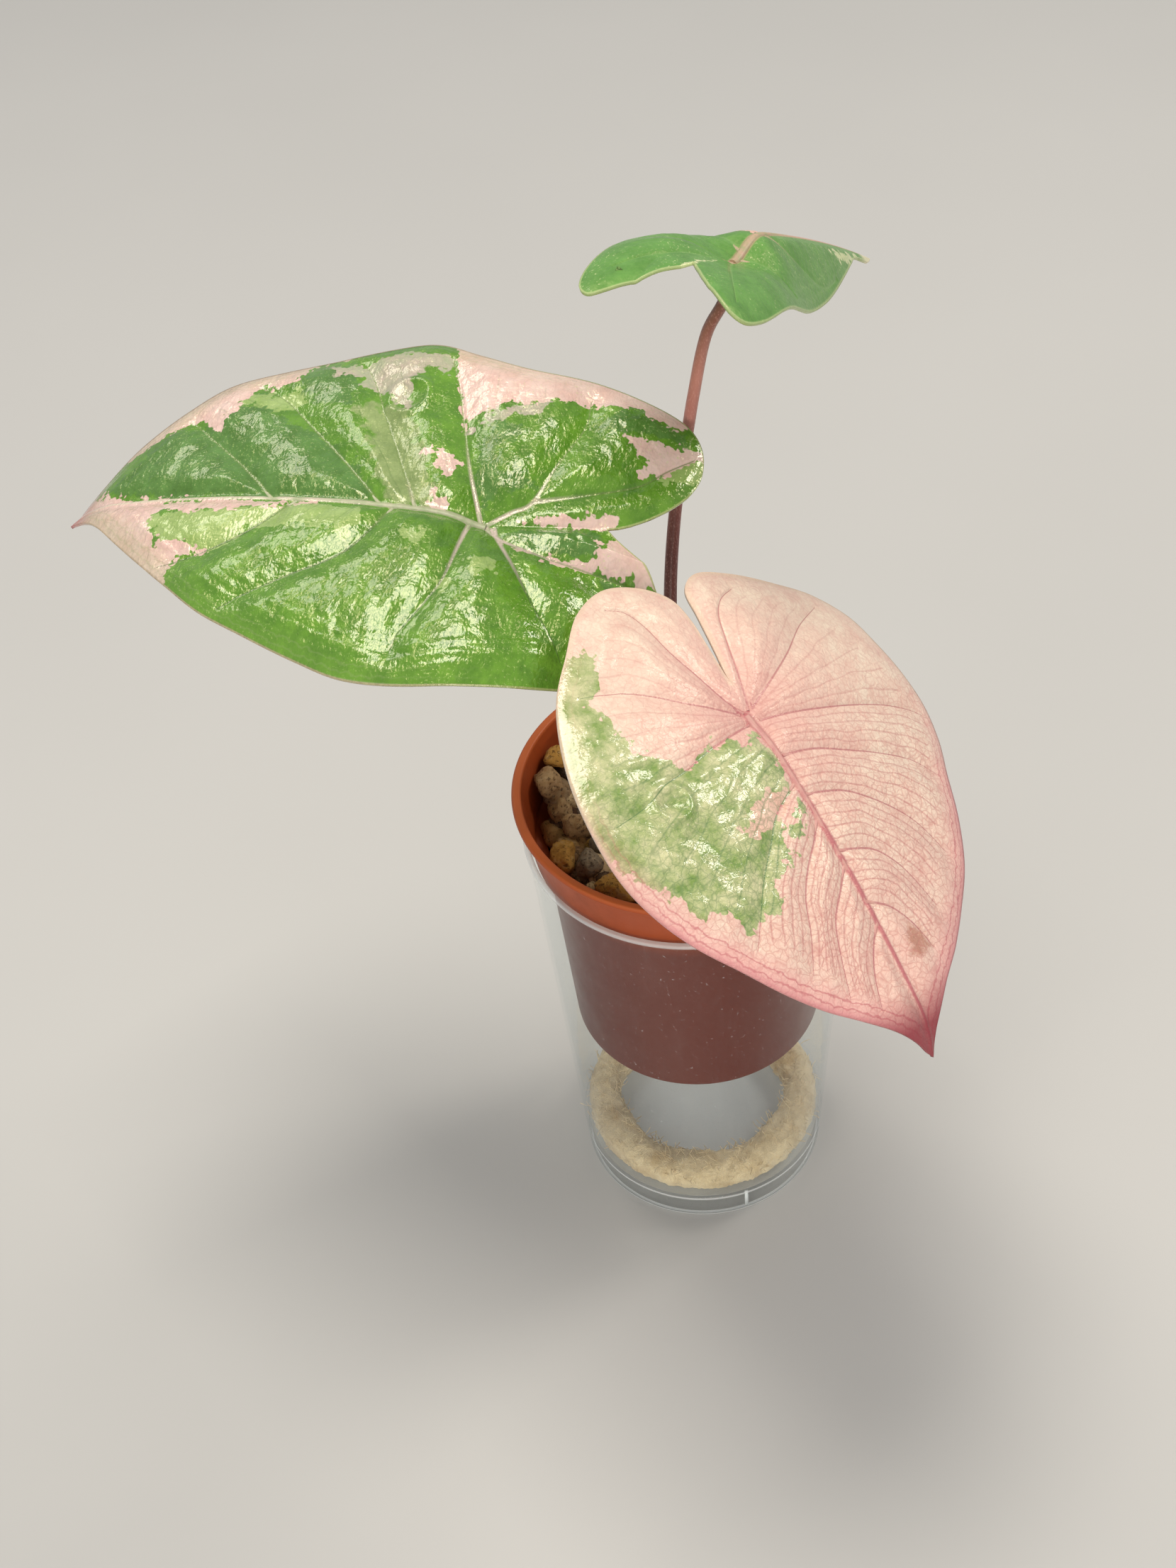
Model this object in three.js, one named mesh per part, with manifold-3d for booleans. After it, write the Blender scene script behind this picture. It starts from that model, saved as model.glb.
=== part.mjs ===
// A small variegated arrowhead-leaved houseplant: three leaves on slim stalks, rooted in mineral
// grit in a terracotta-coloured nursery pot that hangs by its collar in a clear tapered cup.
// A felt ring lies on the cup's floor. Millimetres, +Z up, z = 0 under the cup's foot.

import * as THREE from 'three';
import { mergeVertices } from 'three/addons/utils/BufferGeometryUtils.js';
import Module from 'manifold-3d';

const wasm = await Module();
wasm.setup();

// Driving dimensions
const clearance = 0.3;
const roundSides = 48;

const cup = {
  height: 120, rimRadius: 40, footRadius: 32, wall: 0.9,
  beadProud: 0.6, beadHeight: 1.6, beadMiddle: 0.9, lipRise: 0.3,
  skirt: 7, skirtExtra: 0.1, floor: 1, corner: 0.9, footEase: 0.5,
};

const pot = {
  base: 56, rim: 133, wall: 0.9, floor: 1.2,
  baseRadius: 31.4, baseEase: 0.8, shoulderRadius: 35.5, shoulder: 116, shoulderRise: 0.8,
  collarBottomRadius: 38.3, collarTopRadius: 40.5, flangeRadius: 42.1, flange: 1.6, flangeEase: 0.3,
  insideEase: 0.4, drainRadius: 3.5, drainCircle: 20, drains: 6, drainSides: 12, drillLength: 4,
};

const felt = {
  centreRadius: 26.2, halfWidth: 4.7, height: 8.4, sides: 10, steps: 44,
  kinks: 6, kinkDepth: 0.8, kinkTurn: 0.6, ovalDepth: 0.3, swells: 5, swellShare: 0.05,
};

const grit = {
  level: 116, stone: 4.4, spacing: 8.2, jitter: 1.5, rows: 6, edge: 2.4, seed: 11,
  settle: 0.8, uneven: 1.2, secondLayerFrom: 3, secondLayerShare: 0.75,
  moundX: -29, moundY: 13, moundSpread: 8, moundHeight: 7, below: 0.6, inward: 0.94,
};

// A stone's corners lie between these shares of its radius.
const stoneCorners = { least: 0.9, spread: 0.14 };

// Loose stones that lie on the grit: name, centre, radius, stretch along x, y, z
const looseStones = [
  ['stone_tan_big', [-33.7, 8.4, 126.6], 3.7, [1.0, 1.0, 0.95]],
  ['stone_ochre_back', [-31.3, 15.9, 127.6], 3.2, [1.1, 1.0, 0.9]],
  ['stone_buff', [-31.2, 3.6, 121.9], 3.0, [0.95, 1.25, 0.9]],
  ['stone_tan_pale', [-27.2, -1.8, 121.6], 3.3, [1.2, 0.9, 0.9]],
  ['stone_ochre_left', [-30.4, -11.6, 121.3], 3.3, [0.9, 1.35, 0.95]],
  ['stone_grey', [-24.2, -14.6, 121.4], 3.4, [0.9, 1.2, 1.0]],
  ['stone_lava', [-21.4, -7.2, 120.6], 2.8, [1.1, 1.1, 0.9]],
  ['stone_ochre_right', [-17.6, -23.0, 121.2], 3.9, [1.3, 0.95, 0.9]],
];

const crown = { x: -2.6, y: 0, bottom: 97, top: 119, radius: 7, sides: 16 };

const stalk = {
  sides: 10, steps: 18, baseRadius: 2.1, midRadius: 1.55, tipRadius: 1.25, midShare: 0.4,
  sheath: 18, sheathBaseRadius: 3.2, sheathTopRadius: 2.35, sheathSteps: 5,
};

const blade = {
  thickness: 0.7, ribDepth: 0.9, columns: 35, rows: [0, 0.03, 0.13, 0.27, 0.42, 0.57, 0.72, 0.86, 1],
};

// Where the blade's shape changes, in millimetres from the stalk: the dimple over the stalk, the
// turn from the back slope to the front slope, and the rounding over the midrib.
const shaping = {
  dimpleAlong: 6, dimpleAcross: 8, turnAt: 6, turnOver: 7, ridge: 3, droopAcross: 8,
};

// Each leaf lies in its own frame: the stalk meets it at `junction`, u runs along the midrib to
// the tip, v to its left. `heading` is the midrib's compass direction, `pitch` its rise and
// `roll` how far the left half is raised, in degrees. A margin is the list of control points of
// one half, from the notch round the lobe to the tip, and `origins` says where along the midrib
// the line to each of those points starts. `sides` are the slope beside the midrib at the back
// and at the front, the curl and the droop of the lobe.
const leaves = {
  pink: {
    colour: 0xd9b3a2, junction: [12.7, -40.4, 191.8], heading: -56, pitch: -26, roll: -17,
    dimple: 1.5, archFront: 0.0016, archBack: 0.002, hook: 0.03, hookStart: 68,
    left: [0.04, 0.04, 0.002, 0], right: [0.04, 0.04, 0.002, 0],
    pucker: 0.8, wave: 0.5, waves: 9,
    origins: [0, 0, 0, 0, 0, 0, 0, 0, 0, 0, 0.3, 1.5, 5, 10, 14.5, 19, 25, 32, 41, 52, 65],
    marginLeft: [
      [-8, 1.3], [-16, 3.2], [-24.5, 5.1], [-31.5, 7], [-34.3, 12.5], [-31.5, 21], [-27, 31],
      [-22, 40.5], [-14.5, 46.8], [-5.5, 49], [4, 51], [12, 51.6], [20, 49], [28.5, 43.5],
      [38, 38.5], [47.5, 32.6], [55, 25.2], [61.2, 17.6], [66.8, 9.4], [72.6, 3.2], [78, 0],
    ],
    marginRight: [
      [-8, 1.3], [-16, 2.2], [-24.5, 3.1], [-31, 2.2], [-36, -3], [-37.8, -12], [-34.5, -21.5],
      [-27, -29.6], [-19.5, -36.8], [-10.5, -42], [-0.5, -45.8], [9.5, -47.4], [19.5, -47],
      [29, -44.3], [38, -40], [45.7, -34.5], [53, -28.5], [59.8, -21.4], [65.4, -14.2], [71.2, -7.2],
      [78, 0],
    ],
    veinsLeft: [4.7, 7.2, 11.2, 13, 15, 16.7, 18.2],
    veinsRight: [5.2, 8, 11.2, 13.4, 15.4, 17, 18.4],
    stalkPath: [[-1, -2, 108], [-0.6, -4.4, 128], [1, -11.5, 148], [4.3, -21.5, 167]],
  },
  left: {
    colour: 0x5f8f3c, junction: [-40.6, 0, 212.3], heading: 165.5, pitch: 4, roll: 0,
    dimple: 2.5, archFront: 0.0019, archBack: 0.002, hook: 0.03, hookStart: 86,
    left: [0.1, 0.12, 0.003, 0.009], right: [-0.32, -0.22, 0.0009, 0.001],
    pucker: 1.1, wave: 0.6, waves: 8,
    origins: [0, 0, 0, 0, 0, 0, 0, 0, 0, 0, 0.3, 1, 3, 9, 16, 22, 30, 40, 52, 66, 80],
    marginLeft: [
      [-25.5, -5.3], [-29, -3.4], [-33, -1.2], [-37, 1.6], [-40.4, 5.5], [-42, 11], [-40, 18.5],
      [-34.5, 26], [-27, 32], [-17, 37.4], [-6, 41.6], [6.5, 44], [18.5, 43.8], [30, 40.6],
      [42.5, 36.3], [54.5, 31.5], [64.5, 25], [73, 18.6], [81, 12.3], [90, 5.2], [98.5, 0],
    ],
    marginRight: [
      [-25.5, -5.3], [-29.7, -7.5], [-33.8, -10.4], [-37.7, -14.4], [-40.5, -19.1], [-41.7, -24.7],
      [-40.3, -30.5], [-35.6, -34.7], [-26.1, -37.7], [-14.5, -40.1], [0.3, -41.6], [13.6, -44.9],
      [24.3, -47.4], [35.3, -45.4], [46.8, -42.3], [58.3, -39.1], [69.9, -34.6], [78, -27],
      [85.6, -18.4], [92.2, -9], [98.5, 0],
    ],
    veinsLeft: [3.6, 8, 11.4, 13.4, 15, 16.9, 18.3],
    veinsRight: [4.6, 9, 12, 13.5, 15.6, 17.2, 18.6],
    stalkPath: [[-5.2, 0, 108], [-7.5, 0.5, 128], [-12.5, 1, 152], [-21, 1.2, 175], [-31, 0.9, 193.5]],
  },
  top: {
    colour: 0x4f8a45, junction: [14.1, 27.4, 256.6], heading: 61.4, pitch: -29.7, roll: 0,
    dimple: 6, archFront: 0.00087, archBack: 0, hook: 0, hookStart: 70,
    left: [0.16, 0.46, 0.004, 0.0095], right: [0.72, 1.32, 0, 0.003],
    pucker: 0.5, wave: 0.3, waves: 6,
    origins: [0, 0, 0, 0, 0, 0, 0, 0, 0, 0, 0.3, 1.5, 5, 10, 14.5, 19, 25, 33, 43, 55, 68],
    marginLeft: [
      [-20, 0], [-23.5, 4], [-27, 6.6], [-30.5, 9.2], [-33.5, 11.8], [-35.2, 14.6], [-33.5, 17.4],
      [-29, 19.2], [-22, 20.3], [-13, 21], [-3, 21.3], [6, 20.8], [15, 19.6], [24, 17.5],
      [33, 14.8], [42, 11.8], [51, 8.8], [60, 5.6], [69, 2.4], [78, 1.9], [84, 0],
    ],
    marginRight: [
      [-20, 0], [-23, -2.6], [-26, -5], [-28.6, -8], [-31, -11.5], [-31.8, -15], [-29.5, -17.7],
      [-24, -18.7], [-18, -18.6], [-11, -17.8], [-3, -16.6], [5, -15.3], [14, -14], [23, -12.6],
      [32, -11.1], [41, -9.2], [50, -7], [59, -4.6], [68, -2.2], [78, -1.8], [84, 0],
    ],
    veinsLeft: [4.7, 7.5, 11.2, 13, 15, 16.7, 18.2],
    veinsRight: [4.7, 7.5, 11.2, 13, 15, 16.7, 18.2],
    stalkPath: [
      [-2.6, 2, 108], [-3, 6, 130], [-2.7, 12.5, 153], [-2, 19.5, 176.8], [-0.2, 25, 193.5],
      [1.7, 27.5, 204.5], [3.6, 28.5, 214.8], [5, 28.5, 223.1], [8.3, 27.5, 239.6],
    ],
  },
};

const stalkEnd = blade.thickness / 2 + blade.ribDepth + 0.35;
const stalkSquare = 7;

// Mesh helpers

// Merges a geometry's doubled corners, drops its empty triangles and turns its faces outwards.
function closedGeometry(source) {
  const bare = new THREE.BufferGeometry();
  bare.setAttribute('position', source.getAttribute('position').clone());
  if (source.index) bare.setIndex(source.index.clone());
  const merged = mergeVertices(bare, 1e-4);
  const position = merged.getAttribute('position');
  const corner = (i) => new THREE.Vector3().fromBufferAttribute(position, i);
  const kept = [];
  let volume = 0;
  for (let t = 0; t < merged.index.count; t += 3) {
    const [a, b, c] = [merged.index.getX(t), merged.index.getX(t + 1), merged.index.getX(t + 2)];
    if (a === b || b === c || c === a) continue;
    kept.push(a, b, c);
    volume += corner(a).dot(corner(b).cross(corner(c)));
  }
  if (volume < 0) kept.reverse();
  merged.setIndex(kept);
  return merged;
}

function toSolid(geometry) {
  const closed = closedGeometry(geometry);
  return new wasm.Manifold(new wasm.Mesh({
    numProp: 3,
    vertProperties: new Float32Array(closed.getAttribute('position').array),
    triVerts: new Uint32Array(closed.index.array),
  }));
}

function fromSolid(solid) {
  const mesh = solid.getMesh();
  const geometry = new THREE.BufferGeometry();
  geometry.setAttribute('position', new THREE.BufferAttribute(Float32Array.from(mesh.vertProperties), 3));
  geometry.setIndex(new THREE.BufferAttribute(Uint32Array.from(mesh.triVerts), 1));
  return geometry;
}

// Turns a profile of [radius, height] about the z axis.
function turned(profile, sides = roundSides) {
  const points = profile.map(([radius, height]) => new THREE.Vector2(radius, height));
  return closedGeometry(new THREE.LatheGeometry(points, sides).rotateX(Math.PI / 2));
}

// A round bar along a curve, with flat ends; radiusAt takes 0 at the start and 1 at the end.
function taperedBar(curve, radiusAt, sides, steps) {
  const frames = curve.computeFrenetFrames(steps, false);
  const vertices = [];
  const faces = [];
  for (let i = 0; i <= steps; i += 1) {
    const centre = curve.getPointAt(i / steps);
    const radius = radiusAt(i / steps);
    for (let k = 0; k < sides; k += 1) {
      const turn = (2 * Math.PI * k) / sides;
      const point = centre.clone()
        .addScaledVector(frames.normals[i], radius * Math.cos(turn))
        .addScaledVector(frames.binormals[i], radius * Math.sin(turn));
      vertices.push(point.x, point.y, point.z);
    }
  }
  const start = curve.getPointAt(0);
  const end = curve.getPointAt(1);
  vertices.push(start.x, start.y, start.z, end.x, end.y, end.z);
  const startCentre = (steps + 1) * sides;
  for (let k = 0; k < sides; k += 1) {
    const next = (k + 1) % sides;
    for (let i = 0; i < steps; i += 1) {
      const [a, b] = [i * sides + k, i * sides + next];
      faces.push(a, b, b + sides, a, b + sides, a + sides);
    }
    faces.push(startCentre, next, k);
    faces.push(startCentre + 1, steps * sides + k, steps * sides + next);
  }
  const geometry = new THREE.BufferGeometry();
  geometry.setAttribute('position', new THREE.Float32BufferAttribute(vertices, 3));
  geometry.setIndex(faces);
  return closedGeometry(geometry);
}

function seededRandom(seed) {
  let state = seed;
  return () => {
    state = (Math.imul(state, 1664525) + 1013904223) >>> 0;
    return state / 4294967296;
  };
}

// A rounded lump of stone: an icosahedron whose corners are pushed in and out a little.
function stone(centre, radius, stretch, detail, random) {
  const geometry = closedGeometry(new THREE.IcosahedronGeometry(1, detail));
  const position = geometry.getAttribute('position');
  const turn = new THREE.Euler(...[0, 1, 2].map(() => random() * 2 * Math.PI));
  for (let i = 0; i < position.count; i += 1) {
    const corner = new THREE.Vector3().fromBufferAttribute(position, i);
    corner.applyEuler(turn).multiplyScalar(radius * (stoneCorners.least + stoneCorners.spread * random()));
    corner.multiply(new THREE.Vector3(...stretch)).add(new THREE.Vector3(...centre));
    position.setXYZ(i, corner.x, corner.y, corner.z);
  }
  return geometry;
}

// Cup

function cupProfile() {
  const { height: top, skirt, corner } = cup;
  const floorTop = skirt + cup.floor;
  const beadRadius = cup.rimRadius + cup.beadProud;
  const lipTop = top + cup.lipRise;
  const outer = (z) => cup.footRadius + ((cup.rimRadius - cup.footRadius) * z) / top;
  const inner = (z) => outer(z) - cup.wall;
  const skirtInner = (z) => inner(z) - cup.skirtExtra;
  return [
    [0, skirt], [skirtInner(skirt) - corner, skirt], [skirtInner(skirt - corner), skirt - corner],
    [skirtInner(0), 0], [outer(0) - cup.footEase, 0], [outer(cup.footEase), cup.footEase],
    [outer(top - cup.beadHeight), top - cup.beadHeight], [beadRadius, top - cup.beadMiddle],
    [beadRadius, top], [cup.rimRadius, lipTop], [inner(top) + cup.lipRise, lipTop],
    [inner(top), top - cup.lipRise], [inner(floorTop + corner), floorTop + corner],
    [inner(floorTop) - corner, floorTop], [0, floorTop],
  ];
}

// Nursery pot

const collarSlope = (pot.collarTopRadius - pot.collarBottomRadius)
  / (pot.rim - pot.flange - pot.shoulder - pot.shoulderRise);

function collarInside(z) {
  return pot.collarBottomRadius - pot.wall + (z - pot.shoulder - pot.shoulderRise) * collarSlope;
}

// The pot's hollow, as a profile; `inset` keeps what fills it off the wall.
function hollowProfile(inset) {
  const { insideEase, shoulder } = pot;
  const floorTop = pot.base + pot.floor + inset;
  const baseInside = pot.baseRadius - pot.wall - inset;
  const collarFoot = shoulder + 2 * pot.shoulderRise;
  const collarTop = pot.rim - pot.shoulderRise;
  return [
    [0, floorTop], [baseInside - insideEase, floorTop], [baseInside, floorTop + insideEase],
    [pot.shoulderRadius - pot.wall - inset, shoulder + insideEase + inset],
    [collarInside(collarFoot) - inset, collarFoot + inset], [collarInside(collarTop) - inset, collarTop],
  ];
}

function potGeometry() {
  const { base, baseRadius, baseEase, flangeRadius, flangeEase, rim } = pot;
  const flangeLow = rim - pot.flange;
  const shell = turned([
    [0, base], [baseRadius - baseEase, base], [baseRadius, base + baseEase],
    [pot.shoulderRadius, pot.shoulder], [pot.collarBottomRadius, pot.shoulder + pot.shoulderRise],
    [pot.collarTopRadius, flangeLow], [flangeRadius, flangeLow + flangeEase],
    [flangeRadius, rim - flangeEase], [flangeRadius - flangeEase, rim],
    [collarInside(rim) + flangeEase, rim], ...hollowProfile(0).reverse(),
  ]);
  const drill = (x, y) => toSolid(
    new THREE.CylinderGeometry(pot.drainRadius, pot.drainRadius, pot.drillLength, pot.drainSides)
      .rotateX(Math.PI / 2).translate(x, y, base + pot.floor / 2),
  );
  let solid = toSolid(shell).subtract(drill(0, 0));
  for (let k = 0; k < pot.drains; k += 1) {
    const turn = (2 * Math.PI * k) / pot.drains;
    solid = solid.subtract(drill(pot.drainCircle * Math.cos(turn), pot.drainCircle * Math.sin(turn)));
  }
  return fromSolid(solid);
}

// Felt ring on the cup's floor

function feltGeometry() {
  const floorTop = cup.skirt + cup.floor + clearance;
  const vertices = [];
  const faces = [];
  for (let i = 0; i < felt.steps; i += 1) {
    const turn = (2 * Math.PI * i) / felt.steps;
    const kink = felt.kinkDepth * Math.cos(felt.kinks * turn + felt.kinkTurn)
      + felt.ovalDepth * Math.cos(2 * turn);
    const swell = 1 + felt.swellShare * Math.sin(felt.swells * turn);
    for (let k = 0; k < felt.sides; k += 1) {
      const around = (2 * Math.PI * k) / felt.sides;
      const inward = Math.max(0, -Math.cos(around));
      const radius = felt.centreRadius + felt.halfWidth * Math.cos(around) + kink * inward;
      const height = (felt.height / 2) * (1 + Math.sin(around)) * swell;
      vertices.push(radius * Math.cos(turn), radius * Math.sin(turn), floorTop + height);
      const [a, b] = [i * felt.sides + k, i * felt.sides + ((k + 1) % felt.sides)];
      const step = i === felt.steps - 1 ? -i * felt.sides : felt.sides;
      faces.push(a, a + step, b + step, a, b + step, b);
    }
  }
  const geometry = new THREE.BufferGeometry();
  geometry.setAttribute('position', new THREE.Float32BufferAttribute(vertices, 3));
  geometry.setIndex(faces);
  return closedGeometry(geometry);
}

// Leaves

function leafFrame(leaf) {
  const [heading, pitch, roll] = [leaf.heading, leaf.pitch, leaf.roll].map(THREE.MathUtils.degToRad);
  const along = new THREE.Vector3(
    Math.cos(heading) * Math.cos(pitch), Math.sin(heading) * Math.cos(pitch), Math.sin(pitch),
  );
  const across = new THREE.Vector3(0, 0, 1).cross(along).normalize();
  const up = along.clone().cross(across);
  return {
    along,
    across: across.clone().multiplyScalar(Math.cos(roll)).addScaledVector(up, Math.sin(roll)),
    up: up.clone().multiplyScalar(Math.cos(roll)).addScaledVector(across, -Math.sin(roll)),
  };
}

// How far the blade stands above its flat frame at (u, v), without the puckers.
function bladeHeight(leaf, u, v) {
  const ahead = Math.max(u, 0);
  const behind = Math.max(-u, 0);
  const aside = Math.abs(v);
  const [slopeBack, slopeFront, curl, droop] = v < 0 ? leaf.right : leaf.left;
  const { dimpleAlong, dimpleAcross, turnAt, turnOver, ridge, droopAcross } = shaping;
  const slope = slopeBack + (slopeFront - slopeBack) / (1 + Math.exp(-(u - turnAt) / turnOver));
  return leaf.dimple * (1 - Math.exp(-((ahead / dimpleAlong) ** 2) - (v / dimpleAcross) ** 2))
    - leaf.archFront * ahead ** 2 - leaf.archBack * behind ** 2
    - slope * (Math.sqrt(aside ** 2 + ridge ** 2) - ridge) - curl * aside ** 2
    - droop * behind ** 2 * Math.min(aside / droopAcross, 1)
    - leaf.hook * Math.max(u - leaf.hookStart, 0) ** 2;
}

// Which vein a line across the blade is nearest to: whole numbers on the veins.
function veinIndex(veins, place) {
  let k = 0;
  while (k < veins.length - 2 && place > veins[k + 1]) k += 1;
  return k + (place - veins[k]) / (veins[k + 1] - veins[k]);
}

// Smooth curve through control points, read at a place counted in points.
function curveAt(points, place) {
  const k = Math.min(Math.floor(place), points.length - 2);
  const t = place - k;
  const at = (i) => points[Math.min(Math.max(i, 0), points.length - 1)];
  return points[0].map((_, axis) => {
    const [a, b, c, d] = [k - 1, k, k + 1, k + 2].map((i) => at(i)[axis]);
    return b + 0.5 * t * (c - a + t * (2 * a - 5 * b + 4 * c - d + t * (3 * (b - c) + d - a)));
  });
}

// The blade's middle surface: `place` runs along the margin and `reach` from the midrib out.
function bladePoint(leaf, frame, side, place, reach) {
  const isLeft = side > 0;
  const last = leaf.origins.length - 1;
  const [marginU, marginV] = curveAt(isLeft ? leaf.marginLeft : leaf.marginRight, place);
  const [origin] = curveAt(leaf.origins.map((value) => [value]), place);
  const start = Math.max(origin, 0);
  const u = start + (marginU - start) * reach;
  const v = place === last ? 0 : marginV * reach;
  const vein = veinIndex(isLeft ? leaf.veinsLeft : leaf.veinsRight, place);
  const fade = Math.min(1, place / 2, (last - place) / 4);
  const bulge = leaf.pucker * Math.abs(Math.sin(Math.PI * vein)) * Math.sin(Math.PI * reach ** 0.8) * fade;
  const wave = leaf.wave * Math.sin((leaf.waves * Math.PI * place) / last + side) * reach ** 3 * fade;
  const height = bladeHeight(leaf, u, v) + bulge + wave;
  return new THREE.Vector3(...leaf.junction)
    .addScaledVector(frame.along, u).addScaledVector(frame.across, v).addScaledVector(frame.up, height);
}

function bladeGeometry(leaf) {
  const frame = leafFrame(leaf);
  const last = leaf.origins.length - 1;
  const { columns, rows, thickness } = blade;
  const vertices = [];
  const faces = [];
  const count = columns * rows.length;
  // Vertices come in four sheets: the left half above and below, then the right half.
  for (const side of [1, -1]) {
    const half = side > 0 ? 0 : 2 * count;
    for (const face of [1, -1]) {
      for (let j = 0; j < columns; j += 1) {
        const place = (j / (columns - 1)) * last;
        rows.forEach((reach, i) => {
          const point = bladePoint(leaf, frame, side, place, reach);
          const onRib = i === 0 || j === columns - 1;
          const fade = Math.min(1, (last - place) / 4 + 0.15);
          const rib = face < 0 && onRib ? blade.ribDepth * fade * (1 - reach) : 0;
          point.addScaledVector(frame.up, face * (thickness / 2 + rib));
          vertices.push(point.x, point.y, point.z);
        });
      }
    }
    for (let j = 0; j < columns - 1; j += 1) {
      for (let i = 0; i < rows.length - 1; i += 1) {
        const a = half + j * rows.length + i;
        const [b, c, d] = [a + 1, a + rows.length, a + rows.length + 1];
        const quad = side > 0 ? [a, c, d, a, d, b] : [a, d, c, a, b, d];
        faces.push(...quad, ...quad.map((index) => index + count).reverse());
      }
      const edge = half + j * rows.length + rows.length - 1;
      const next = edge + rows.length;
      const rim = side > 0
        ? [edge, next, next + count, edge, next + count, edge + count]
        : [edge, next + count, next, edge, edge + count, next + count];
      faces.push(...rim);
    }
  }
  const geometry = new THREE.BufferGeometry();
  geometry.setAttribute('position', new THREE.Float32BufferAttribute(vertices, 3));
  geometry.setIndex(faces);
  return closedGeometry(geometry);
}

// Stalks: the sheath at the foot belongs to the crown, the rest is the stalk.

function stalkCurve(leaf) {
  const { up } = leafFrame(leaf);
  const junction = new THREE.Vector3(...leaf.junction);
  const path = leaf.stalkPath.map((point) => new THREE.Vector3(...point));
  path.push(junction.clone().addScaledVector(up, -stalkSquare));
  path.push(junction.clone().addScaledVector(up, -stalkEnd));
  return new THREE.CatmullRomCurve3(path, false, 'centripetal');
}

// The stretch of a curve between two shares of its length.
class Stretch extends THREE.Curve {
  constructor(curve, from, to) {
    super();
    this.whole = curve;
    this.from = from;
    this.to = to;
  }

  getPoint(t, target = new THREE.Vector3()) {
    return target.copy(this.whole.getPointAt(this.from + (this.to - this.from) * t));
  }
}

function stalkGeometry(leaf) {
  const curve = stalkCurve(leaf);
  const from = (stalk.sheath + clearance) / curve.getLength();
  const { midShare, baseRadius, midRadius, tipRadius } = stalk;
  const radiusAt = (t) => (t < midShare
    ? THREE.MathUtils.lerp(baseRadius, midRadius, t / midShare)
    : THREE.MathUtils.lerp(midRadius, tipRadius, (t - midShare) / (1 - midShare)));
  return taperedBar(new Stretch(curve, from, 1), radiusAt, stalk.sides, stalk.steps);
}

function sheathGeometry(leaf, grown) {
  const curve = stalkCurve(leaf);
  const radiusAt = (t) => THREE.MathUtils.lerp(stalk.sheathBaseRadius, stalk.sheathTopRadius, t) + grown;
  const stretch = new Stretch(curve, 0, stalk.sheath / curve.getLength());
  return taperedBar(stretch, radiusAt, stalk.sides, stalk.sheathSteps);
}

// The crown at the soil line, with the sheaths that the stalks rise from.
function crownSolid(grown) {
  const { bottom, top, radius, sides } = crown;
  const corm = turned([
    [0, bottom - grown], [radius * 0.6 + grown, bottom - grown], [radius + grown, bottom + 4],
    [radius + grown, bottom + 9], [radius * 0.72 + grown, top - 5], [radius * 0.5 + grown, top + grown],
    [0, top + 1 + grown],
  ], sides).translate(crown.x, crown.y, 0);
  return Object.values(leaves).reduce(
    (solid, leaf) => solid.add(toSolid(sheathGeometry(leaf, grown))), toSolid(corm),
  );
}

// Grit: a plug that fills the pot, with a layer of stones sunk in its top

function moundAt(x, y) {
  const away = (x - grit.moundX) ** 2 + (y - grit.moundY) ** 2;
  return grit.moundHeight * Math.exp(-away / (2 * grit.moundSpread ** 2));
}

function gritGeometry(looseGeometries) {
  const random = seededRandom(grit.seed);
  const plugRadius = pot.shoulderRadius - pot.wall - clearance;
  const plug = [...hollowProfile(clearance).slice(0, 3), [plugRadius, grit.level], [0, grit.level]];
  let solid = toSolid(turned(plug));
  const reach = collarInside(pot.shoulder + grit.stone) - grit.edge;
  const rowStep = grit.spacing * Math.sin(Math.PI / 3);
  const place = (x, y, z) => {
    const radius = grit.stone * (0.85 + 0.3 * random());
    const stretch = [0.9 + 0.3 * random(), 0.9 + 0.3 * random(), 0.8 + 0.2 * random()];
    solid = solid.add(toSolid(stone([x, y, z], radius, stretch, 0, random)));
  };
  for (let row = -grit.rows; row <= grit.rows; row += 1) {
    for (let column = -grit.rows; column <= grit.rows; column += 1) {
      const x = (column + (row % 2 ? 0.5 : 0)) * grit.spacing + (random() - 0.5) * grit.jitter;
      const y = row * rowStep + (random() - 0.5) * grit.jitter;
      if (Math.hypot(x, y) > reach) continue;
      const rise = moundAt(x, y);
      place(x, y, grit.level + grit.settle + random() * grit.uneven);
      if (rise > grit.secondLayerFrom) {
        place(x, y, grit.level + grit.settle + rise * grit.secondLayerShare);
      }
    }
  }
  for (const [, [x, y, z], radius] of looseStones) {
    place(x * grit.inward, y * grit.inward, z - radius - grit.below);
  }
  const hollow = toSolid(turned([...hollowProfile(clearance), [0, pot.rim - pot.shoulderRise]]));
  solid = solid.intersect(hollow).subtract(crownSolid(clearance));
  for (const nest of looseGeometries) solid = solid.subtract(toSolid(nest));
  return fromSolid(solid.decompose().sort((a, b) => b.volume() - a.volume())[0]);
}

// Assembly

const plant = new THREE.Group();

function addPiece(name, geometry, colour, roughness = 0.6, extra = {}) {
  const material = new THREE.MeshStandardMaterial({ color: colour, roughness, metalness: 0, ...extra });
  const mesh = new THREE.Mesh(geometry, material);
  mesh.name = name;
  plant.add(mesh);
}

const colours = {
  cup: 0xe8eef0, felt: 0xd9ccae, pot: 0xb5532f, grit: 0x8a745a, crown: 0x7c5a48, stalk: 0x8d5f55,
  tan: 0xa08468, ochre: 0xb98a3e, buff: 0xa98a66, grey: 0x7c7264, lava: 0x4d3d38,
};

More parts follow.
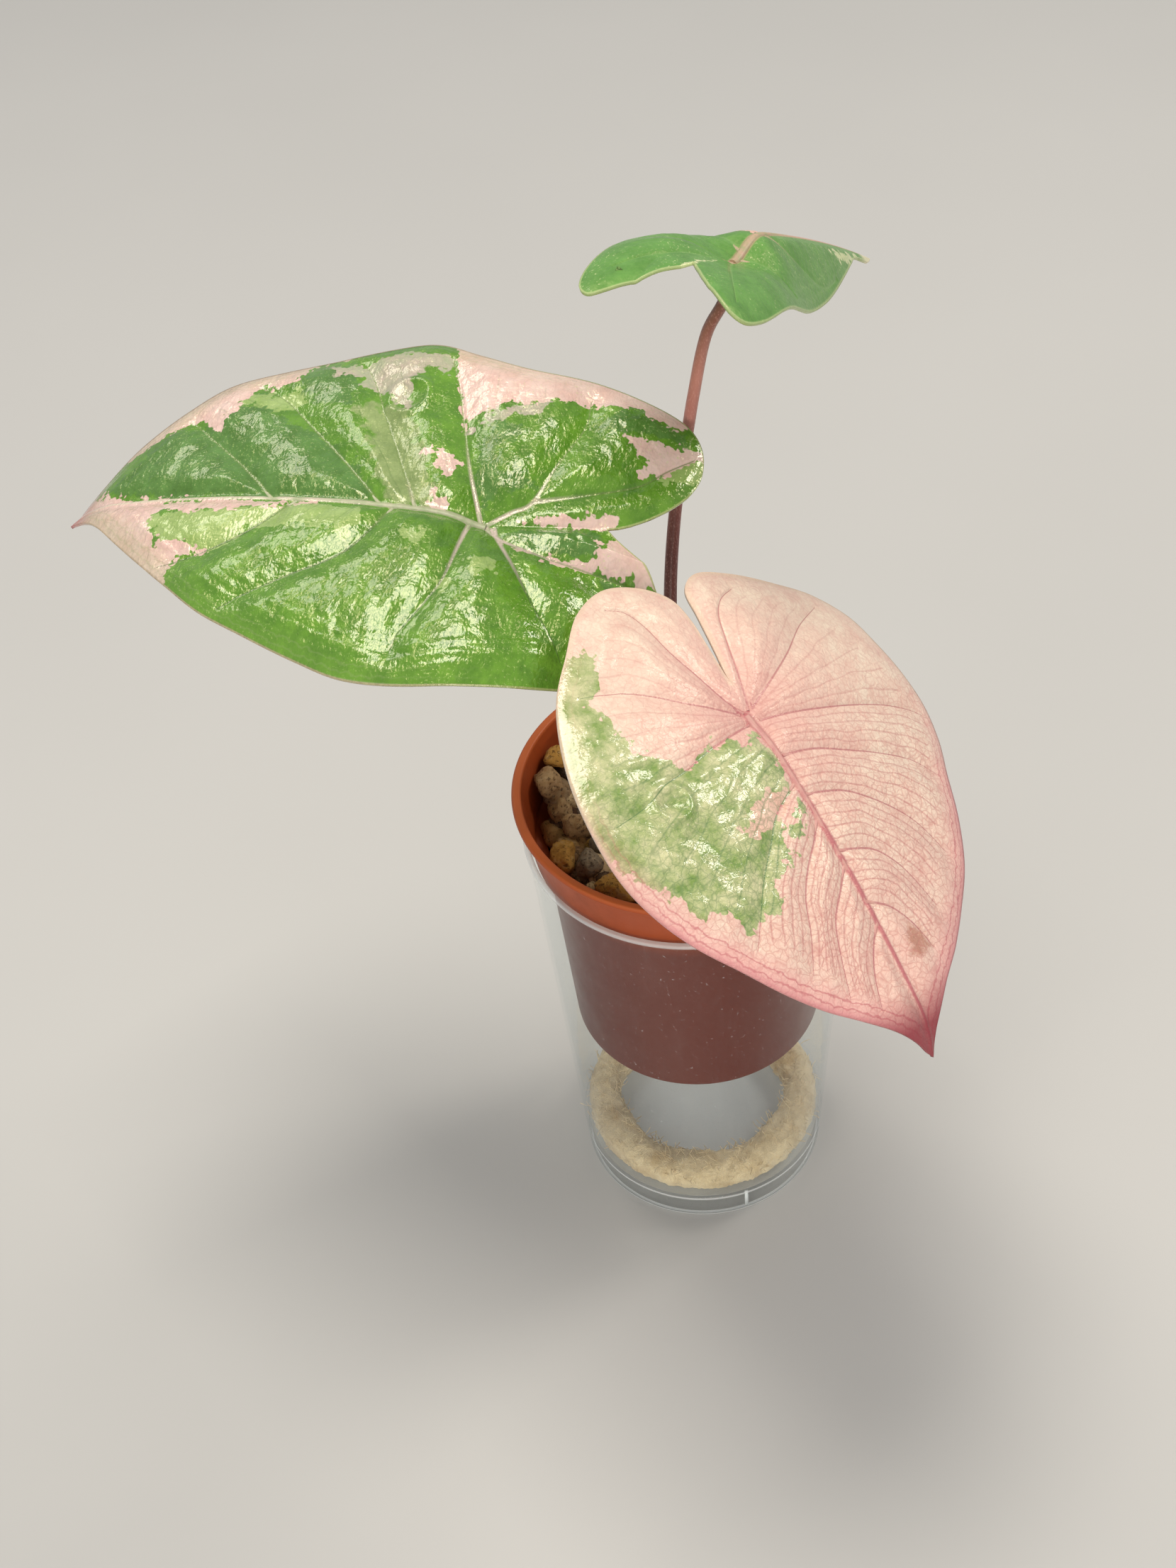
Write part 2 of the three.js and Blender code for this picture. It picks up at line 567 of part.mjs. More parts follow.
function buildPlant() {
  addPiece('clear_cup', turned(cupProfile()), colours.cup, 0.15, { transparent: true, opacity: 0.35 });
  addPiece('felt_ring', feltGeometry(), colours.felt, 0.95);
  addPiece('nursery_pot', potGeometry(), colours.pot, 0.5);

  const nests = [];
  looseStones.forEach(([name, centre, radius, stretch], k) => {
    const shape = (size) => stone(centre, size, stretch, 1, seededRandom(grit.seed + 7 * k + 1));
    addPiece(name, shape(radius), colours[name.split('_')[1]], 0.95);
    nests.push(shape(radius + clearance));
  });
  addPiece('grit_bed', gritGeometry(nests), colours.grit, 0.95);
  addPiece('crown', fromSolid(crownSolid(0)), colours.crown, 0.7);

  for (const [name, leaf] of Object.entries(leaves)) {
    addPiece(`stalk_${name}`, stalkGeometry(leaf), colours.stalk, 0.5);
    addPiece(`blade_${name}`, bladeGeometry(leaf), leaf.colour, 0.35);
  }
}

buildPlant();

// The origin is under the middle of the whole plant's outline, on the surface it stands on.
const outline = new THREE.Box3().setFromObject(plant);
const middle = outline.getCenter(new THREE.Vector3());
plant.position.set(-middle.x, -middle.y, -outline.min.z);

export default plant;
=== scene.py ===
"""A small variegated alocasia in a nursery pot that hangs in a clear cup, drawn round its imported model."""

import math

import bmesh
import bpy
import numpy as np
from mathutils import Matrix, Vector, noise


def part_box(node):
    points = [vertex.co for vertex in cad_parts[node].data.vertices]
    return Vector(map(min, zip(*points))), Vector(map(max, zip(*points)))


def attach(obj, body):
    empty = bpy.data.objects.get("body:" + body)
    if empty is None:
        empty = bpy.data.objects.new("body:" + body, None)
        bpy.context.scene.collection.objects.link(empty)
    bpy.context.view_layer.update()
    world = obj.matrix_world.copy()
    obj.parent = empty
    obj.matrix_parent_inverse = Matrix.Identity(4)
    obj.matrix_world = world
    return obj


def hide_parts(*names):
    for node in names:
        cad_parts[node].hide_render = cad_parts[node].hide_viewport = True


bl_info = {
    "name": "Potted Alocasia",
    "version": (1, 0, 0),
    "blender": (4, 5, 0),
    "location": "3D View > Sidebar > Alocasia",
    "description": "A variegated alocasia in a nursery pot and a clear cup",
    "category": "Object",
}

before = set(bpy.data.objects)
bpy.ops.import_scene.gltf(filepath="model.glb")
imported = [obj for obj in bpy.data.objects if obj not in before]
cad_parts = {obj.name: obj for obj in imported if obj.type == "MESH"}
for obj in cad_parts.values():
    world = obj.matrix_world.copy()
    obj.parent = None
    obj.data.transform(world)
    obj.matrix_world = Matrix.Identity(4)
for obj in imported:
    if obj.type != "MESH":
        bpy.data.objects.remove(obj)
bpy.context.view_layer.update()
MM = 0.001
# Millimetres: further than any place on a leaf
FAR = 1e9
BODY = "root"

# Plant measures are in millimetres from the point where the cup's axis meets the table.
CUP_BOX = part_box("clear_cup")
CUP_AXIS = np.array([(CUP_BOX[0].x + CUP_BOX[1].x) / 2, (CUP_BOX[0].y + CUP_BOX[1].y) / 2, 0.0]) / MM

CUP = {"height": 120.0, "rim": 40.0, "foot": 32.0, "wall": 0.9, "skirt": 7.0, "floor": 1.0, "bead": 0.6}
POT = {
    "base": 56.0, "rim": 133.0, "wall": 0.9, "floor": 1.2, "base_radius": 31.4, "shoulder_radius": 35.5,
    "shoulder": 116.0, "collar_low": 38.3, "collar_high": 40.5, "flange": 1.6, "flange_radius": 42.1,
    "drain_radius": 3.5, "drain_circle": 20.0, "drains": 6,
}
FELT = {"radius": 26.2, "half_width": 4.7, "height": 8.4, "kinks": 6, "kink": 0.8}
# "rows" counts the stones to each side, and "worn" is a stone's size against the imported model's.
GRIT = {
    "level": 116.0, "stone": 4.4, "spacing": 8.2, "jitter": 1.5, "seed": 11,
    "mound": (-29.0, 13.0), "mound_spread": 8.0, "mound_height": 7.0, "rows": 6,
    "chips": 150, "chip_reach": 33.5, "worn": 0.94,
}
CROWN = {"x": -2.6, "bottom": 97.0, "top": 119.0, "radius": 7.0, "rings": 14}
STALK = {
    "base": 2.1, "middle": 1.55, "tip": 1.25, "flare": 1.8, "sheath": 18.0, "square": 7.0,
    "sheath_radii": (3.2, 2.5, 2.2),
}
BLADE = {"thickness": 0.7, "columns": 320, "rows": 70}
# Shares of a lobe's spine from which the blade is spread, at the first ten points of its margin
SPINE_SHARES = (0, 0.43, 0.67, 0.9, 1, 1, 0.9, 0.67, 0.43, 0)

# Loose stones on the grit: node, slot, centre, radius and stretch
LOOSE_STONES = (
    ("stone_tan_big", "grit_tan", (-33.7, 8.4, 126.6), 3.7, (1.0, 1.0, 0.95)),
    ("stone_ochre_back", "grit_ochre", (-31.3, 15.9, 127.6), 3.2, (1.1, 1.0, 0.9)),
    ("stone_buff", "grit_tan", (-31.2, 3.6, 121.9), 3.0, (0.95, 1.25, 0.9)),
    ("stone_tan_pale", "grit_tan", (-27.2, -1.8, 121.6), 3.3, (1.2, 0.9, 0.9)),
    ("stone_ochre_left", "grit_ochre", (-30.4, -11.6, 121.3), 3.3, (0.9, 1.35, 0.95)),
    ("stone_grey", "grit_grey", (-24.2, -14.6, 121.4), 3.4, (0.9, 1.2, 1.0)),
    ("stone_lava", "grit_grey", (-21.4, -7.2, 120.6), 2.8, (1.1, 1.1, 0.9)),
    ("stone_ochre_right", "grit_ochre", (-17.6, -23.0, 121.2), 3.9, (1.3, 0.95, 0.9)),
)

# A leaf lies in its own frame: the stalk meets it at "junction", u runs along the midrib to the tip
# and v to its left. A margin goes from the notch round the lobe to the tip. Its points look back to
# the lobe's spine, whose end "spines" gives for the right and the left half, and then to "origins"
# on the midrib. "left" and "right" give each half its fall beside the midrib at the back and at the
# front, its curl and the droop of its lobe. "ripples" and "between" are for the fine lines beside the
# margin and between two veins, and "crater" is a small raised ring: its middle, radius and height.
# Veins and colour patches are drawn in the same u and v.
LEAVES = {
    "pink": {
        "junction": (12.7, -40.4, 191.8), "heading": -56.0, "pitch": -26.0, "roll": -17.0,
        "dimple": 1.5, "arch_front": 0.0016, "arch_back": 0.002, "hook": 0.03, "hook_start": 68.0,
        "left": (0.04, 0.04, 0.002, 0.0), "right": (0.04, 0.04, 0.002, 0.0),
        "pucker": 0.8, "wrinkle": 0.16, "crumple": 1.8,
        "ripples": (0.03, 0.0), "wave": 0.5, "waves": 9, "between": (0.2, 0.4, 0.6, 0.8),
        "spines": ((-30, -10), (-30, 14)),
        "origins": (0, 0, 0, 0, 0, 0, 0, 0, 0, 0, 0.3, 1.5, 5, 10, 14.5, 19, 25, 32, 41, 52, 65),
        "margin_left": (
            (-8, 1.3), (-16, 3.2), (-24.5, 5.1), (-31.5, 7), (-34.3, 12.5), (-31.5, 21), (-27, 31),
            (-22, 40.5), (-14.5, 46.8), (-5.5, 49), (4, 51), (12, 51.6), (20, 49), (28.5, 43.5),
            (38, 38.5), (47.5, 32.6), (55, 25.2), (61.2, 17.6), (66.8, 9.4), (72.6, 3.2), (78, 0),
        ),
        "margin_right": (
            (-8, 1.3), (-16, 2.2), (-24.5, 3.1), (-31, 2.2), (-36, -3), (-37.8, -12), (-34.5, -21.5),
            (-27, -29.6), (-19.5, -36.8), (-10.5, -42), (-0.5, -45.8), (9.5, -47.4), (19.5, -47),
            (29, -44.3), (38, -40), (45.7, -34.5), (53, -28.5), (59.8, -21.4), (65.4, -14.2), (71.2, -7.2),
            (78, 0),
        ),
        "veins_left": (
            ((-1, 1.3), (-4.8, 2.7), (-10.9, 5), (-16.4, 6.9), (-22.8, 9.6), (-26.4, 13.2), (-28, 18)),
            ((-1.1, 2.3), (-5.1, 10.7), (-9.6, 19.9), (-14.8, 28.9), (-18.1, 37.8)),
            ((2, 2.2), (3, 9.1), (4.4, 17.6), (6.2, 27.7), (8.6, 37.9), (11.6, 45.6), (14.2, 49.2)),
            ((11.1, 1), (12.3, 9.7), (15.2, 18.3), (18.5, 27.2), (22.2, 35.1), (27, 40)),
            ((20.3, 0), (22.6, 9.8), (26.1, 15.9), (31.1, 22), (36.2, 26), (43, 29)),
            ((33.5, 0), (36.1, 8.6), (40.3, 13.1), (45.4, 15.8), (52, 18)),
            ((45, 0), (48.5, 5.5), (53.5, 9), (59.5, 11)),
        ),
        "veins_right": (
            (
                (-0.8, -0.4), (-5, -3), (-11.9, -5.5), (-18.8, -7.9), (-26.6, -9.3), (-31.1, -11.4),
                (-33, -15),
            ),
            ((-0.7, -1.5), (-4.3, -7.8), (-7.4, -13.1), (-11.6, -19), (-14.7, -24.5), (-17.4, -32.7)),
            ((2, -1), (3.9, -14.2), (5.7, -21.6), (6.7, -28.3), (8.8, -33.9), (10, -42)),
            ((17.2, 0), (21.6, -8.6), (27, -14.3), (32.3, -19.7), (37.8, -24.2), (43.8, -28.9)),
            ((25.7, 0), (29.7, -4), (34.5, -9.3), (39.6, -13.3), (45.9, -16.1), (53, -20)),
            ((36.6, 0), (40.5, -4), (45.8, -9.2), (52.1, -12), (60.3, -14.6)),
            ((50, 0), (54, -4), (59, -7), (65, -9)),
        ),
        "crater": (10.6, -29.5, 3.7, 0.9),
    },
    "left": {
        "junction": (-40.6, 0.0, 212.3), "heading": 165.5, "pitch": 4.0, "roll": 0.0,
        "dimple": 2.5, "arch_front": 0.0019, "arch_back": 0.002, "hook": 0.03, "hook_start": 86.0,
        "left": (0.1, 0.12, 0.003, 0.009), "right": (-0.32, -0.22, 0.0009, 0.001),
        "pucker": 1.3, "wrinkle": 0.3, "crumple": 0,
        "ripples": (0.04, 0.12), "wave": 0.6, "waves": 8, "between": (0.33, 0.67),
        "spines": ((-32, -19), (-34, 6)),
        "origins": (0, 0, 0, 0, 0, 0, 0, 0, 0, 0, 0.3, 1, 3, 9, 16, 22, 30, 40, 52, 66, 80),
        "margin_left": (
            (-25.5, -5.3), (-29, -3.4), (-33, -1.2), (-37, 1.6), (-40.4, 5.5), (-42, 11), (-40, 18.5),
            (-34.5, 26), (-27, 32), (-17, 37.4), (-6, 41.6), (6.5, 44), (18.5, 43.8), (30, 40.6),
            (42.5, 36.3), (54.5, 31.5), (64.5, 25), (73, 18.6), (81, 12.3), (90, 5.2), (98.5, 0),
        ),
        "margin_right": (
            (-25.5, -5.3), (-29.7, -7.5), (-33.8, -10.4), (-37.7, -14.4), (-40.5, -19.1), (-41.7, -24.7),
            (-40.3, -30.5), (-35.6, -34.7), (-26.1, -37.7), (-14.5, -40.1), (0.3, -41.6), (13.6, -44.9),
            (24.3, -47.4), (35.3, -45.4), (46.8, -42.3), (58.3, -39.1), (69.9, -34.6), (78, -27),
            (85.6, -18.4), (92.2, -9), (98.5, 0),
        ),
        "veins_left": (
            ((-0.5, 0.5), (-4.9, 3.8), (-13.8, 5.2), (-23.2, 4.8), (-32.5, 4.2), (-39, 5.5)),
            ((-2, 0), (-4, 4.1), (-10.1, 12.1), (-15.6, 18.8), (-20.6, 23.6), (-24, 28)),
            ((3.4, 0), (3.8, 16.2), (6, 24.4), (9.3, 32.2), (9.9, 37)),
            ((20.1, 0), (26.5, 13.8), (37.6, 21.7), (46.3, 27.6), (50.1, 30.9)),
            ((42, 0), (50, 10), (60, 17), (68, 20)),
        ),
        "veins_right": (
            ((-8.5, -7.3), (-19, -11.1), (-29.2, -16.3), (-34.5, -22.2), (-39.2, -27)),
            ((0.2, -0.6), (-4.5, -4.3), (-8.5, -7.3), (-11.7, -17.2), (-14.9, -27.2), (-14.5, -34.2)),
            ((1.1, -0.6), (6.6, -11.6), (12.1, -25.5), (16.1, -35.6), (19, -41.5)),
            ((15.4, 0), (23.7, -14.3), (30.1, -25.3), (35.1, -34.3), (39, -40)),
            ((23.1, 0), (34.6, -10.9), (46.2, -21.2), (55.2, -29.3), (62, -33)),
            ((48, 0), (58, -9), (68, -17), (75, -22.5)),
        ),
        "crater": (26.0, -30.0, 4.6, 0.8),
    },
    "top": {
        "junction": (14.1, 27.4, 256.6), "heading": 61.4, "pitch": -29.7, "roll": 0.0,
        "dimple": 6.0, "arch_front": 0.00087, "arch_back": 0.0, "hook": 0.0, "hook_start": 70.0,
        "left": (0.16, 0.46, 0.004, 0.0095), "right": (0.72, 1.32, 0.0, 0.003),
        "pucker": 0.5, "wrinkle": 0.12, "crumple": 0,
        "ripples": (0.0, 0.0), "wave": 0.3, "waves": 6, "between": (0.5,),
        "spines": ((-26, -12), (-28, 12)),
        "origins": (0, 0, 0, 0, 0, 0, 0, 0, 0, 0, 0.3, 1.5, 5, 10, 14.5, 19, 25, 33, 43, 55, 68),
        "margin_left": (
            (-20, 0), (-23.5, 4), (-27, 6.6), (-30.5, 9.2), (-33.5, 11.8), (-35.2, 14.6), (-33.5, 17.4),
            (-29, 19.2), (-22, 20.3), (-13, 21), (-3, 21.3), (6, 20.8), (15, 19.6), (24, 17.5),
            (33, 14.8), (42, 11.8), (51, 8.8), (60, 5.6), (69, 2.4), (78, 1.9), (84, 0),
        ),
        "margin_right": (
            (-20, 0), (-23, -2.6), (-26, -5), (-28.6, -8), (-31, -11.5), (-31.8, -15), (-29.5, -17.7),
            (-24, -18.7), (-18, -18.6), (-11, -17.8), (-3, -16.6), (5, -15.3), (14, -14), (23, -12.6),
            (32, -11.1), (41, -9.2), (50, -7), (59, -4.6), (68, -2.2), (78, -1.8), (84, 0),
        ),
        "veins_left": (
            ((0, 0), (-8, 4), (-18, 9), (-27, 14)),
            ((0, 0), (-4, 8), (-10, 17)),
            ((4, 0), (8, 8), (14, 16)),
            ((16, 0), (24, 7), (33, 12)),
        ),
        "veins_right": (
            ((0, 0), (-10, -4), (-20, -9), (-28, -14)),
            ((2, 0), (4, -7), (6, -13)),
            ((12, 0), (20, -6), (30, -9.5), (42, -8)),
        ),
        "crater": None,
    },
}

STALK_PATHS = {
    "pink": ((-1, -2, 108), (-0.6, -4.4, 128), (1, -11.5, 148), (4.3, -21.5, 167)),
    "left": ((-5.2, 0, 108), (-7.5, 0.5, 128), (-12.5, 1, 152), (-21, 1.2, 175), (-31, 0.9, 193.5)),
    "top": (
        (-2.6, 2, 108), (-3, 6, 130), (-2.7, 12.5, 153), (-2, 19.5, 176.8), (-0.2, 25, 193.5),
        (1.7, 27.5, 204.5), (3.6, 28.5, 214.8), (5, 28.5, 223.1), (8.3, 27.5, 239.6),
    ),
}

# Outlines of the colour patches, in each leaf's u and v
PATCHES = {
    "pink": {
        "green": (
            (
                (-25.8, -26.4), (-24, -24.8), (-19.5, -27), (-16.2, -30), (-16.1, -32.4), (-11.3, -31.3),
                (-6.7, -30.9), (-1.2, -30.3), (0.7, -27.1), (3, -25.1), (5.6, -22.9), (4.4, -17.8),
                (3.3, -12.1), (4.5, -8), (7.4, -7), (4.2, -2), (9.2, -1.6), (17.6, -1.9), (22.1, -8.2),
                (26, -10.7), (31, -12.6), (34.8, -18.6), (38.6, -19.1), (39.9, -21.4), (38.6, -23.4),
                (40, -29.7), (36, -31.7), (34, -34.8), (34.3, -36.8), (30.9, -39), (27.9, -38.8),
                (22.9, -42.5), (19.1, -45.2), (12.6, -48.5), (2.8, -48.2), (-8.8, -44.5), (-15.9, -41),
                (-22.5, -36), (-27, -31),
            ),
            ((21.3, -1.6), (24.4, -2.3), (27.9, -6), (30, -9.9), (27.3, -9.6), (23.3, -5.1)),
        ),
        "island": (
            (
                (18.2, -3.4), (21.6, -6.3), (23.9, -11.1), (24, -18.6), (21.2, -18.6), (19.8, -14.4),
                (17, -8.9),
            ),
        ),
        "blotch": (((53.1, 7.3), (55, 10.5), (57.8, 9.5), (59.9, 5.6), (58.2, 4), (55.4, 5)),),
    },
    "left": {
        "pink": (
            (
                (104, -8.3), (99.2, -6.5), (85.7, -1.8), (72.5, 0.2), (57.8, 0.6), (37.6, 1.2), (50.1, 4.2),
                (61.8, 5.6), (74.8, 5.3), (75, 9), (69.6, 14.2), (63.7, 14.1), (57.4, 16.5), (64.1, 17.5),
                (66, 27), (78, 18), (92, 8), (101, -2),
            ),
            (
                (98, -12.7), (92, -21), (84, -31), (71.3, -40), (60.7, -44), (44, -45), (44, -42.3),
                (52, -40), (53.9, -34.5), (62, -33), (65.2, -28.4), (66.8, -22.8), (66.8, -19), (73, -22.5),
                (78, -21.5), (81.9, -17.4), (86.9, -14.3), (91.2, -10.9),
            ),
            (
                (20.4, -52), (8, -48), (0, -45), (-11.5, -45), (-23, -42), (-38, -37), (-34, -31.5),
                (-28.4, -33.3), (-21.9, -33.9), (-15, -32.9), (-9.5, -32.3), (-6.4, -32.1), (-1.5, -29.4),
                (1, -29.9), (4.9, -29.3), (8.3, -27), (10.1, -24), (11.1, -22.9), (14, -30.2), (17.4, -38.6),
            ),
            (
                (18, -14.8), (14.8, -15.9), (11.3, -15.6), (9.2, -13.2), (10.8, -8.1), (13, -9.8),
                (14.9, -12.5),
            ),
            ((13.2, -5), (11, -4.2), (9.1, -1.9), (10.4, 0.2), (13.1, -2)),
            (
                (-23.4, -26.6), (-28.4, -27.1), (-33, -27.6), (-41, -29.2), (-38.9, -26), (-33.2, -20),
                (-29.8, -18.4), (-29.5, -22.3), (-27.6, -23.7), (-25.1, -24.7),
            ),
            (
                (-8.6, 5.3), (-16.2, 4.7), (-23.5, 2.9), (-25.9, 0.2), (-24, -1.4), (-27.4, -3.4),
                (-33.3, -2.4), (-41, -0.3), (-44, 2.5), (-38.7, 2.5), (-31.2, 3.3), (-23.7, 4.2),
                (-16.5, 6.4),
            ),
            ((-6.3, -2.6), (-16.5, -5.4), (-27, -8), (-27.5, -5), (-14, -3.3)),
        ),
        "grey": (
            (
                (47.9, -39), (40.9, -38.7), (37.7, -41.7), (29, -43.6), (21.3, -43.5), (18.3, -41),
                (19.1, -38.7), (23.5, -39.4), (26.1, -36.9), (25.4, -31.5), (24.7, -27), (28.5, -28.5),
                (32.1, -32.1), (36.1, -31.6), (39.1, -35.1), (44.5, -36.6),
            ),
            (
                (8.2, -26.4), (0.9, -29.3), (-6.7, -31.6), (-4.4, -28.4), (0.7, -27), (6.1, -24.1),
                (9.2, -22.3),
            ),
        ),
        "dark": (
            (
                (88.8, -2.7), (86.5, -8), (83, -12.5), (84.2, -16.5), (79.2, -19.1), (73.5, -20.6),
                (67.9, -24.5), (61.5, -26.1), (52.5, -22.6), (41.6, -17.6), (31.5, -9.5), (24, -0.5),
                (39.7, 0.4), (56.6, -0.2), (74.3, -0.9),
            ),
            (
                (53.8, -36.1), (49, -39.7), (42.6, -41.3), (39.2, -38.5), (39, -32.8), (39.6, -26.8),
                (46.8, -28.2), (51.4, -31.6),
            ),
            (
                (41.5, -43.3), (32.6, -49), (22.7, -50), (18.1, -46.5), (19.2, -44.4), (29.1, -44.3),
                (37.8, -42.5),
            ),
            (
                (6.1, -20.6), (4.4, -24.6), (-1.2, -24.5), (-1.2, -21.5), (2.1, -16.3), (0.1, -10.4),
                (-5.9, -13.1), (-7.5, -10.1), (-0.6, -6.6), (1.6, -3.1), (4.5, -7.9), (6.1, -14.8),
            ),
            (
                (-19.3, -31.4), (-25.2, -33.3), (-33.5, -32), (-38, -29.6), (-32.9, -28), (-23.6, -27),
                (-18.8, -27.4),
            ),
            (
                (-4.2, 2.9), (-8.8, 0.4), (-14.4, -1.8), (-24.7, -4.4), (-27, -1.8), (-25, 1.7), (-19, 3.3),
                (-12.2, 4), (-7.5, 3.8),
            ),
            ((-26, 4.2), (-31.3, 3.7), (-37.8, 2.9), (-43.5, 3), (-36, 7), (-28.6, 6.5)),
        ),
        "sage": (
            (
                (75.3, 8.4), (74.8, 5.3), (61.8, 4.6), (48.5, 2.6), (35.6, 1.4), (27.3, 2.6), (25.2, 6.4),
                (27.3, 10.7), (34, 9.7), (42, 9.9), (49.1, 8.5), (52.2, 11.2), (54.9, 15.1), (57.8, 16.5),
                (62.8, 15.6), (63.5, 13.7), (68.6, 14.5),
            ),
            (
                (65.8, -28.2), (63.4, -31.3), (55.7, -30.2), (53.4, -35), (50.2, -28.2), (57.1, -23.4),
                (62.3, -25.8),
            ),
            ((55.8, -19.6), (50.9, -19), (48.8, -15.3), (52.4, -14.8)),
            ((-0.6, 12.9), (-4.4, 11.8), (-6.7, 15), (-1.4, 17.8)),
            ((5.9, 19), (2.7, 18.4), (2.7, 22.7), (5.6, 22.1)),
            ((16.6, 7.1), (10.7, 7.3), (11.4, 11), (14.8, 10.2)),
            ((-33.6, -21.6), (-41, -28.4), (-43, -24.3), (-37.9, -20), (-33.4, -19)),
        ),
        "dull": (
            (
                (36.8, -25.8), (32.8, -27.9), (28.1, -27.4), (24.6, -24), (19, -16.2), (13.9, -7.9),
                (10.9, -0.3), (14.5, -0.4), (20.3, -0.6), (25.7, -5.4), (30, -15.2),
            ),
        ),
    },
    "top": {
        "pink": (((11.5, 7.5), (11.5, 1.6), (15, 1.4), (22, 6), (24.8, 9.5)),),
        "cream": (
            (
                (28.8, 10.3), (21.8, 5.8), (25, 3.4), (35.8, 3.2), (47.9, 3.6), (58.6, 5), (40.9, 6.6),
                (30.1, 7.4),
            ),
            ((45.8, -3.1), (54, -3), (68.6, -2), (72, -3), (57.2, -4.6), (49.1, -4.6)),
            ((-27, -1.2), (-17, -0.4), (-9, 0), (-17, 1), (-27, 2)),
        ),
        # On the top leaf the dark patch is painted shade: the far half of the blade, beyond the midrib's
        # ridge, turned away from the light.
        "dark": (((12, 0.6), (30, 0.4), (50, 0.2), (66, 0.4), (66, 6), (50, 11), (30, 18), (12, 22)),),
    },
}


def linear(colour):
    """A hex colour as the linear red, green, blue and alpha that Blender's sockets take."""
    shares = [int(colour[i : i + 2], 16) / 255 for i in (1, 3, 5)]
    curved = [c / 12.92 if c <= 0.04045 else ((c + 0.055) / 1.055) ** 2.4 for c in shares]
    return (*curved, 1.0)


def add(tree, kind, inputs=None, **settings):
    """Adds one node with its settings, its socket values and its links.

    An input is a value, a socket to link, or a node, which is linked from its first output.
    """
    node = tree.nodes.new(kind)
    for name, value in settings.items():
        setattr(node, name, value)
    for socket, value in (inputs or {}).items():
        if isinstance(value, bpy.types.Node):
            value = value.outputs[0]
        if isinstance(value, bpy.types.NodeSocket):
            tree.links.new(value, node.inputs[socket])
        else:
            node.inputs[socket].default_value = value
    return node


def new_material(name):
    """A material with an empty principled shader, and its node tree."""
    material = bpy.data.materials.new(name)
    material.use_nodes = True
    tree = material.node_tree
    return material, tree, tree.nodes["Principled BSDF"]


def in_metres(points):
    """Plant millimetres to the frame's metres."""
    return (np.asarray(points, float) + CUP_AXIS) * MM


def mesh_from(bm):
    """Writes a bmesh to a new mesh, and frees it."""
    mesh = bpy.data.meshes.new("piece")
    bm.to_mesh(mesh)
    bm.free()
    return mesh


def finish_piece(name, mesh, nodes, material):
    """Makes a mesh a smooth object of the plant, and hides the imported nodes that it stands for."""
    mesh.name = name
    piece = bpy.data.objects.new(name, mesh)
    bpy.context.scene.collection.objects.link(piece)
    mesh.polygons.foreach_set("use_smooth", [True] * len(mesh.polygons))
    mesh.materials.append(material)
    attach(piece, BODY)
    if nodes:
        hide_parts(*nodes)
    return piece


def spin_profile(profile, steps):
    """Spins a profile of radius and height about the cup's axis, into a mesh in metres."""
    bm = bmesh.new()
    corners = [bm.verts.new(Vector(in_metres((radius, 0.0, height)))) for radius, height in profile]
    edges = [bm.edges.new(pair) for pair in zip(corners, corners[1:])]
    centre = Vector(in_metres((0.0, 0.0, 0.0)))
    bmesh.ops.spin(
        bm, geom=corners + edges, cent=centre, axis=(0, 0, 1), angle=2 * math.pi, steps=steps, use_merge=True
    )
    bmesh.ops.remove_doubles(bm, verts=bm.verts, dist=1e-6)
    bmesh.ops.recalc_face_normals(bm, faces=bm.faces)
    return mesh_from(bm)


def rounded(profile, radius, segments=4):
    """Rounds the inner corners of a profile with short arcs."""
    points = [profile[0]]
    for before, here, after in zip(profile, profile[1:], profile[2:]):
        corner = Vector(here)
        back = Vector(before) - corner
        ahead = Vector(after) - corner
        cut = min(radius, back.length * 0.45, ahead.length * 0.45)
        start = corner + back.normalized() * cut
        end = corner + ahead.normalized() * cut
        for k in range(segments + 1):
            t = k / segments
            points.append(tuple(start * (1 - t) ** 2 + corner * 2 * t * (1 - t) + end * t * t))
    points.append(profile[-1])
    return points


def curve_at(points, place):
    """A smooth curve through control points, read at places counted in points."""
    points = np.asarray(points, float)
    place = np.asarray(place, float)
    k = np.minimum(np.floor(place).astype(int), len(points) - 2)
    t = (place - k)[:, None]
    a, b, c, d = (points[np.clip(k + step, 0, len(points) - 1)] for step in (-1, 0, 1, 2))
    return b + 0.5 * t * (c - a + t * (2 * a - 5 * b + 4 * c - d + t * (3 * (b - c) + d - a)))


def leaf_axes(leaf):
    """The leaf's own directions: along the midrib, across to its left, and up."""
    heading, pitch, roll = (math.radians(leaf[key]) for key in ("heading", "pitch", "roll"))
    level = np.array([math.cos(heading), math.sin(heading), 0.0])
    along = level * math.cos(pitch) + np.array([0.0, 0.0, math.sin(pitch)])
    across = np.cross([0, 0, 1], along)
    across /= np.linalg.norm(across)
    up = np.cross(along, across)
    return (
        along,
        across * math.cos(roll) + up * math.sin(roll),
        up * math.cos(roll) - across * math.sin(roll),
    )


def on_plant(leaf, at, height):
    """Places given in a leaf's u and v, at heights over its flat frame, in plant millimetres."""
    along, across, up = leaf_axes(leaf)
    return np.array(leaf["junction"]) + at[:, :1] * along + at[:, 1:] * across + height[:, None] * up


